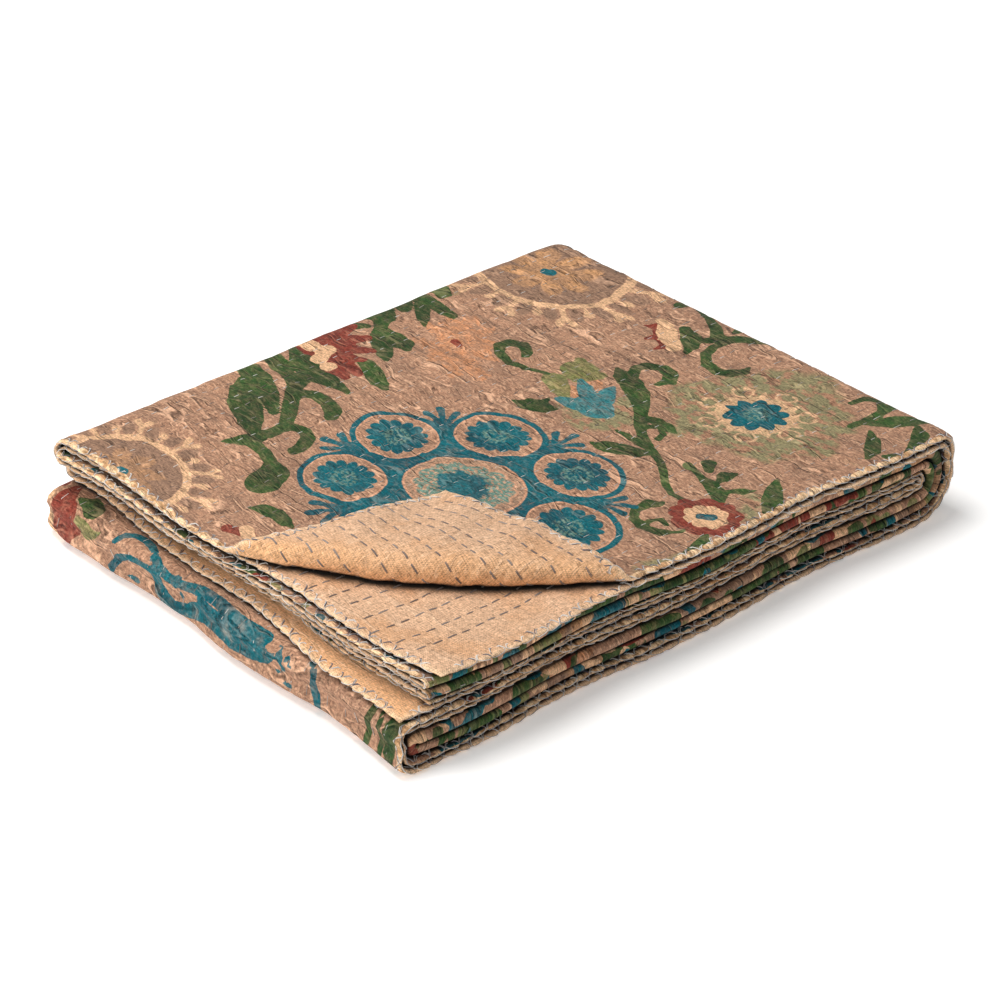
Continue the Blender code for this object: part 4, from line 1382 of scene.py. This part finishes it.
def makePlainCotton():
    look = plainLook
    material, tree, place, weave, crinkle = startCotton("plainCotton", look)
    blotch = stretchedNoise(place, 30, 24, 3.0, 0.6, 4.0)
    colour = mixColours(look["cloth"], look["warm"], fade(blotch, 0.42, 0.72, 0.0, 0.5))
    colour = mixColours(colour, look["golden"], attribute(tree, "golden"))
    colour = mixColours(colour, look["hem"], attribute(tree, "hemShare") * 0.7)
    return finishCotton(material, look, colour, place, weave, crinkle)


printedCloth.data.materials.append(makePrintedCotton())
plainCloth.data.materials.append(makePlainCotton())
print("cotton finished")


# threads
def makeThreadTree():
    # sweeps a round thread along every path
    tree = bpy.data.node_groups.new("sewnThread", "GeometryNodeTree")
    face = tree.interface
    face.new_socket("Paths", in_out="INPUT", socket_type="NodeSocketGeometry")
    face.new_socket("Thread Radius", in_out="INPUT", socket_type="NodeSocketFloat").default_value = 0.0003
    face.new_socket("Sides", in_out="INPUT", socket_type="NodeSocketInt").default_value = 5
    face.new_socket("Material", in_out="INPUT", socket_type="NodeSocketMaterial")
    face.new_socket("Thread", in_out="OUTPUT", socket_type="NodeSocketGeometry")
    given = tree.nodes.new("NodeGroupInput").outputs
    circle = {"Resolution": given["Sides"], "Radius": given["Thread Radius"]}
    profile = addNode(tree, "GeometryNodeCurvePrimitiveCircle", circle).outputs[0]
    shape = given["Paths"]
    for kind, label, others in (
        ("MeshToCurve", "Mesh", {}), ("CurveToMesh", "Curve", {"Profile Curve": profile, "Fill Caps": True}),
        ("SetShadeSmooth", "Geometry", {}), ("SetMaterial", "Geometry", {"Material": given["Material"]}),
    ):
        shape = addNode(tree, "GeometryNode" + kind, {label: shape, **others}).outputs[0]
    tree.links.new(shape, tree.nodes.new("NodeGroupOutput").inputs[0])
    return tree


threadTree = makeThreadTree()


def sewPaths(name, paths, tones, radius, sides, material):
    # one piece of thread from many paths of the same number of points
    count, steps = paths.shape[:2]
    mesh = bpy.data.meshes.new(name + "Paths")
    first = np.arange(count * steps).reshape(count, steps)
    edges = np.stack([first[:, :-1].ravel(), first[:, 1:].ravel()], axis=1)
    mesh.from_pydata(paths.reshape(-1, 3).tolist(), edges.tolist(), [])
    guide = addObject(name + "Paths", mesh)
    setValues(guide, "threadTone", np.repeat(tones, steps))
    modifier = guide.modifiers.new("thread", "NODES")
    modifier.node_group = threadTree
    sockets = {item.name: item.identifier for item in threadTree.interface.items_tree if item.in_out == "INPUT"}
    modifier[sockets["Thread Radius"]] = radius
    modifier[sockets["Sides"]] = sides
    modifier[sockets["Material"]] = material
    sewn = bpy.data.meshes.new_from_object(guide.evaluated_get(bpy.context.evaluated_depsgraph_get()))
    sewn.name = name
    bpy.data.objects.remove(guide)
    print(name, count, "strands,", sum(len(f.vertices) - 2 for f in sewn.polygons), "triangles")
    return addObject(name, sewn)


threadLook = {
    "pale": screenColour(232, 228, 222), "grey": screenColour(176, 166, 160),
    "brown": screenColour(112, 96, 88), "dark": screenColour(92, 88, 98),
    "twist": 2600.0, "twistDepth": 0.0002, "roughness": 0.7,
}


def makeThreadMaterial(name, dark, pale):
    material, tree, shader = newMaterial(name)
    fibres = {
        "Vector": addNode(tree, "ShaderNodeTexCoord").outputs["Object"],
        "Scale": threadLook["twist"], "Detail": 1.0,
    }
    twist = NodeValue(tree, addNode(tree, "ShaderNodeTexNoise", fibres).outputs["Fac"])
    tone = attribute(tree, "threadTone").apply("ADD", (twist - 0.5) * 0.5, clamp=True)
    tree.links.new(mixColours(dark, pale, tone).socket, shader["Base Color"])
    shader["Roughness"].default_value = threadLook["roughness"]
    shader["Sheen Weight"].default_value = 0.1
    depth = {"Height": twist, "Distance": threadLook["twistDepth"], "Strength": 0.6}
    tree.links.new(addNode(tree, "ShaderNodeBump", depth).outputs[0], shader["Normal"])
    return material


def dashPaths(u, v, half, side, shares, sideways):
    # paths of running stitches centred on (u, v): over the cloth in the middle, into it at both ends
    shares = np.array(shares)
    lift, dive = runningStitch["lift"], runningStitch["dive"]
    rise = lift - (lift + dive) * np.abs(shares) ** 16
    along = u[:, None] + half[:, None] * shares
    over = v[:, None] + sideways + 0.0 * along
    cloth = printedOffset(along, over) if side > 0 else plainOffset(along, over)
    return laidOnQuilt(along, over, cloth + side * rise)


def flapShare(u, v):
    # how far a point of the top layer lies past the crease of the turned corner, in metres
    x = u - foldedLength / 2 - quiltFold["topReach"][0][1]
    y = v - foldedWidth / 2 - quiltFold["frontReach"][0][0]
    return (x - creaseStart[0]) * creaseOutward[0] + (y - creaseStart[1]) * creaseOutward[1]


def runningRows(side):
    # centres and half lengths of the stitches that show on one side of the quilt
    rng = np.random.default_rng(7)
    stitch = runningStitch
    places = []
    for row in range(int((pathWidth - stitch["fromSide"]) / clothSheets["rowSpacing"])):
        start = stitch["fromEnds"] + rng.uniform(0, stitch["length"])
        centres = np.arange(start, pathLength - stitch["fromEnds"], stitch["length"])
        centres = centres + (0 if side < 0 else stitch["length"] / 2)
        centres = centres + rng.uniform(-stitch["uneven"], stitch["uneven"], len(centres))
        share = stitch["plainShare"] if side < 0 else 1 - stitch["plainShare"]
        half = 0.5 * stitch["length"] * share * rng.uniform(*stitch["lengths"], len(centres))
        places.append(np.stack([centres, rowCentre(row, centres), half], axis=1))
    u, v, half = np.concatenate(places).T
    if side < 0:
        alongU, alongV, otherHem = stitch["plainShown"]
        onCorner = (v < alongV) & (flapShare(u, v) > -0.004)
        shown = (u < alongU) & (onCorner | (v > pathWidth - otherHem))
    else:
        pastWrap, beforeFold, pastFold, onLedge = stitch["printShown"]
        topSide = (v < widthStarts[1] + 0.004) & (u < lengthStarts[2] + pastWrap) & (flapShare(u, v) < -0.002)
        leftFold = (v < widthStarts[1]) & (u > lengthStarts[3] - beforeFold) & (u < lengthStarts[4] + pastFold)
        backFolds = (v > widthStarts[1]) & (v < widthStarts[2])
        ledge = u > pathLength - onLedge
        shown = topSide | leftFold | backFolds | ledge
    return u[shown], v[shown], half[shown]


runningSides = (   # side, name, tones, strands, places along a stitch, sides of the thread, its pale colour
    (-1, "plainSideStitches", (0.0, 0.6), (-1, 1), (-1.0, -0.9, -0.45, 0.45, 0.9, 1.0), 5, "grey"),
    (1, "printSideStitches", (-0.2, 1.0), (0,), (-1.0, -0.85, 0.85, 1.0), 4, "pale"),
)


def sewRunningStitches():
    rng = np.random.default_rng(8)
    pieces = []
    for side, name, tone, strands, shares, corners, pale in runningSides:
        u, v, half = runningRows(side)
        gap = runningStitch["strandGap"]
        paths = [dashPaths(u, v, half, side, shares, strand * gap) for strand in strands]
        tones = np.tile(rng.uniform(*tone, len(u)), len(paths))
        material = makeThreadMaterial(name + "Thread", threadLook["brown"], threadLook[pale])
        radius = runningStitch["threadRadius"]
        pieces.append(sewPaths(name, np.concatenate(paths), tones, radius, corners, material))
    return pieces


def hemPlaces():
    # where threads cross the hems: 0 and 1 are the hems at v = 0 and at the other side, 2 and 3 the ends
    hems, places = [], []
    for hem, size in enumerate((pathLength, pathLength, pathWidth, pathWidth)):
        fine = np.linspace(whippedHem["fromEnds"], size - whippedHem["fromEnds"], 6000)
        phase = hemPhase(fine, hem)
        along = np.interp(np.arange(math.ceil(phase[0]), math.floor(phase[-1])) + 0.5, phase, fine)
        hems.append(np.full(len(along), hem))
        places.append(along)
    return np.concatenate(hems), np.concatenate(places)


def hemPoint(hem, run, depth):
    # the flat places that lie so far along a hem and so deep inside it
    hem = hem[:, None]
    u = np.where(hem < 2, run, np.where(hem == 2, depth, pathLength - depth))
    v = np.where(hem < 2, np.where(hem == 0, depth, pathWidth - depth), run)
    return u, v


def laidOnQuilt(u, v, offset):
    place = foldedPoints(u.ravel(), v.ravel(), offset.ravel()) + shift
    place[:, 2] = np.maximum(place[:, 2], 0.0004)
    return place.reshape(*u.shape, 3)


def whipPaths(hem, along, turn, reachIn, strand):
    # over the edge from the plain side to the printed side, then slanting along inside the hem
    w = whippedHem
    shares = np.array([-1.0, -0.62, -0.30, 0.0, 0.30, 0.62, 1.0])
    inward = np.interp(np.abs(shares), (0.0, 0.30, 0.62, 1.0), (0.0, 0.50, 0.96, 1.0))
    sideways = np.interp(np.abs(shares), (0.0, 0.30, 0.62, 1.0), (0.0, 0.16, 0.44, 0.98))
    depth = reachIn[:, None] * inward - w["threadRadius"] * (shares == 0)
    run = along[:, None] + w["spacing"] / 2 * turn * np.sign(shares) * sideways + strand * w["strandGap"]
    u, v = hemPoint(hem, run, depth)
    lift = w["threadRadius"] * 0.95 - 0.0007 * (np.abs(shares) > 0.9)
    onCloth = np.clip(u, 0, pathLength), np.clip(v, 0, pathWidth)
    over, under = printedOffset(*onCloth) + lift, plainOffset(*onCloth) - lift
    return laidOnQuilt(u, v, np.where(shares > 0, over, np.where(shares < 0, under, 0.0)))


def rimPaths(hem, along, strand):
    # the thread that lies along the very edge, from one crossing to the next
    w = whippedHem
    shares = np.linspace(-1.0, 1.0, 7)
    run = along[:, None] + w["spacing"] * (0.5 + 0.46 * shares)
    outward = -w["puffOut"] * np.cos(0.42 * math.pi * shares) ** 0.7 - 0.2 * w["threadRadius"]
    depth = outward + 0.0014 * np.abs(shares) ** 6 + 0.0 * run
    u, v = hemPoint(hem, run, depth)
    return laidOnQuilt(u, v, strand * 0.0009 * shares + 0.0 * run)


def sewWhippedHems():
    rng, w = np.random.default_rng(10), whippedHem
    hem, along = hemPlaces()
    count = len(along)
    material = makeThreadMaterial("whipThread", threadLook["dark"], threadLook["pale"])
    paths, tones = [], []
    for turn, strands in w["slants"]:
        reachIn = w["reachIn"] * rng.uniform(0.62, 1.15, count)
        nudged = along + rng.uniform(-w["uneven"], w["uneven"], count)
        for strand in strands:
            ownPlace = nudged + rng.uniform(-w["strandUneven"], w["strandUneven"], count)
            ownReach = reachIn * rng.uniform(0.88, 1.12, count)
            paths.append(whipPaths(hem, ownPlace, turn, ownReach, strand))
            tones.append(rng.uniform(-0.2, 1.2, count))
    paths, tones, radius = np.concatenate(paths), np.concatenate(tones), w["threadRadius"]
    crossings = sewPaths("whippedHems", paths, tones, radius, 4, material)
    rims = rimPaths(hem, along, np.where(rng.random(count) < 0.5, -1.0, 1.0)[:, None])
    edges = sewPaths("hemEdgeThreads", rims, rng.uniform(0.3, 1.1, count), radius, 4, material)
    return crossings, edges


warmGold(plainCloth, plainFlat)
plainSideStitches, printSideStitches = sewRunningStitches()
whippedHems, hemEdgeThreads = sewWhippedHems()

# the floor
floorLook = {"halfSize": 6, "level": -0.0005, "colour": (0.95, 0.95, 0.95, 1), "roughness": 0.85, "glow": 0.24}


def makeFloor():
    half, level = floorLook["halfSize"], floorLook["level"]
    mesh = bpy.data.meshes.new("floor")
    corners = [(x * half, y * half, level) for x, y in ((-1, -1), (1, -1), (1, 1), (-1, 1))]
    mesh.from_pydata(corners, [], [(0, 1, 2, 3)])
    material, _, shader = newMaterial("paleFloor")
    shader["Base Color"].default_value = floorLook["colour"]
    shader["Roughness"].default_value = floorLook["roughness"]
    shader["Emission Color"].default_value = (1, 1, 1, 1)
    shader["Emission Strength"].default_value = floorLook["glow"]
    mesh.materials.append(material)
    return addObject("floor", mesh)


floor = makeFloor()

for piece, node, slot in ((printedCloth, "printed_face", "printed_cotton"), (plainCloth, "plain_back", "plain_cotton")):
    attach(piece, "root")
    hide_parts(node)
for thread in (plainSideStitches, printSideStitches, whippedHems, hemEdgeThreads):
    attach(thread, "root")
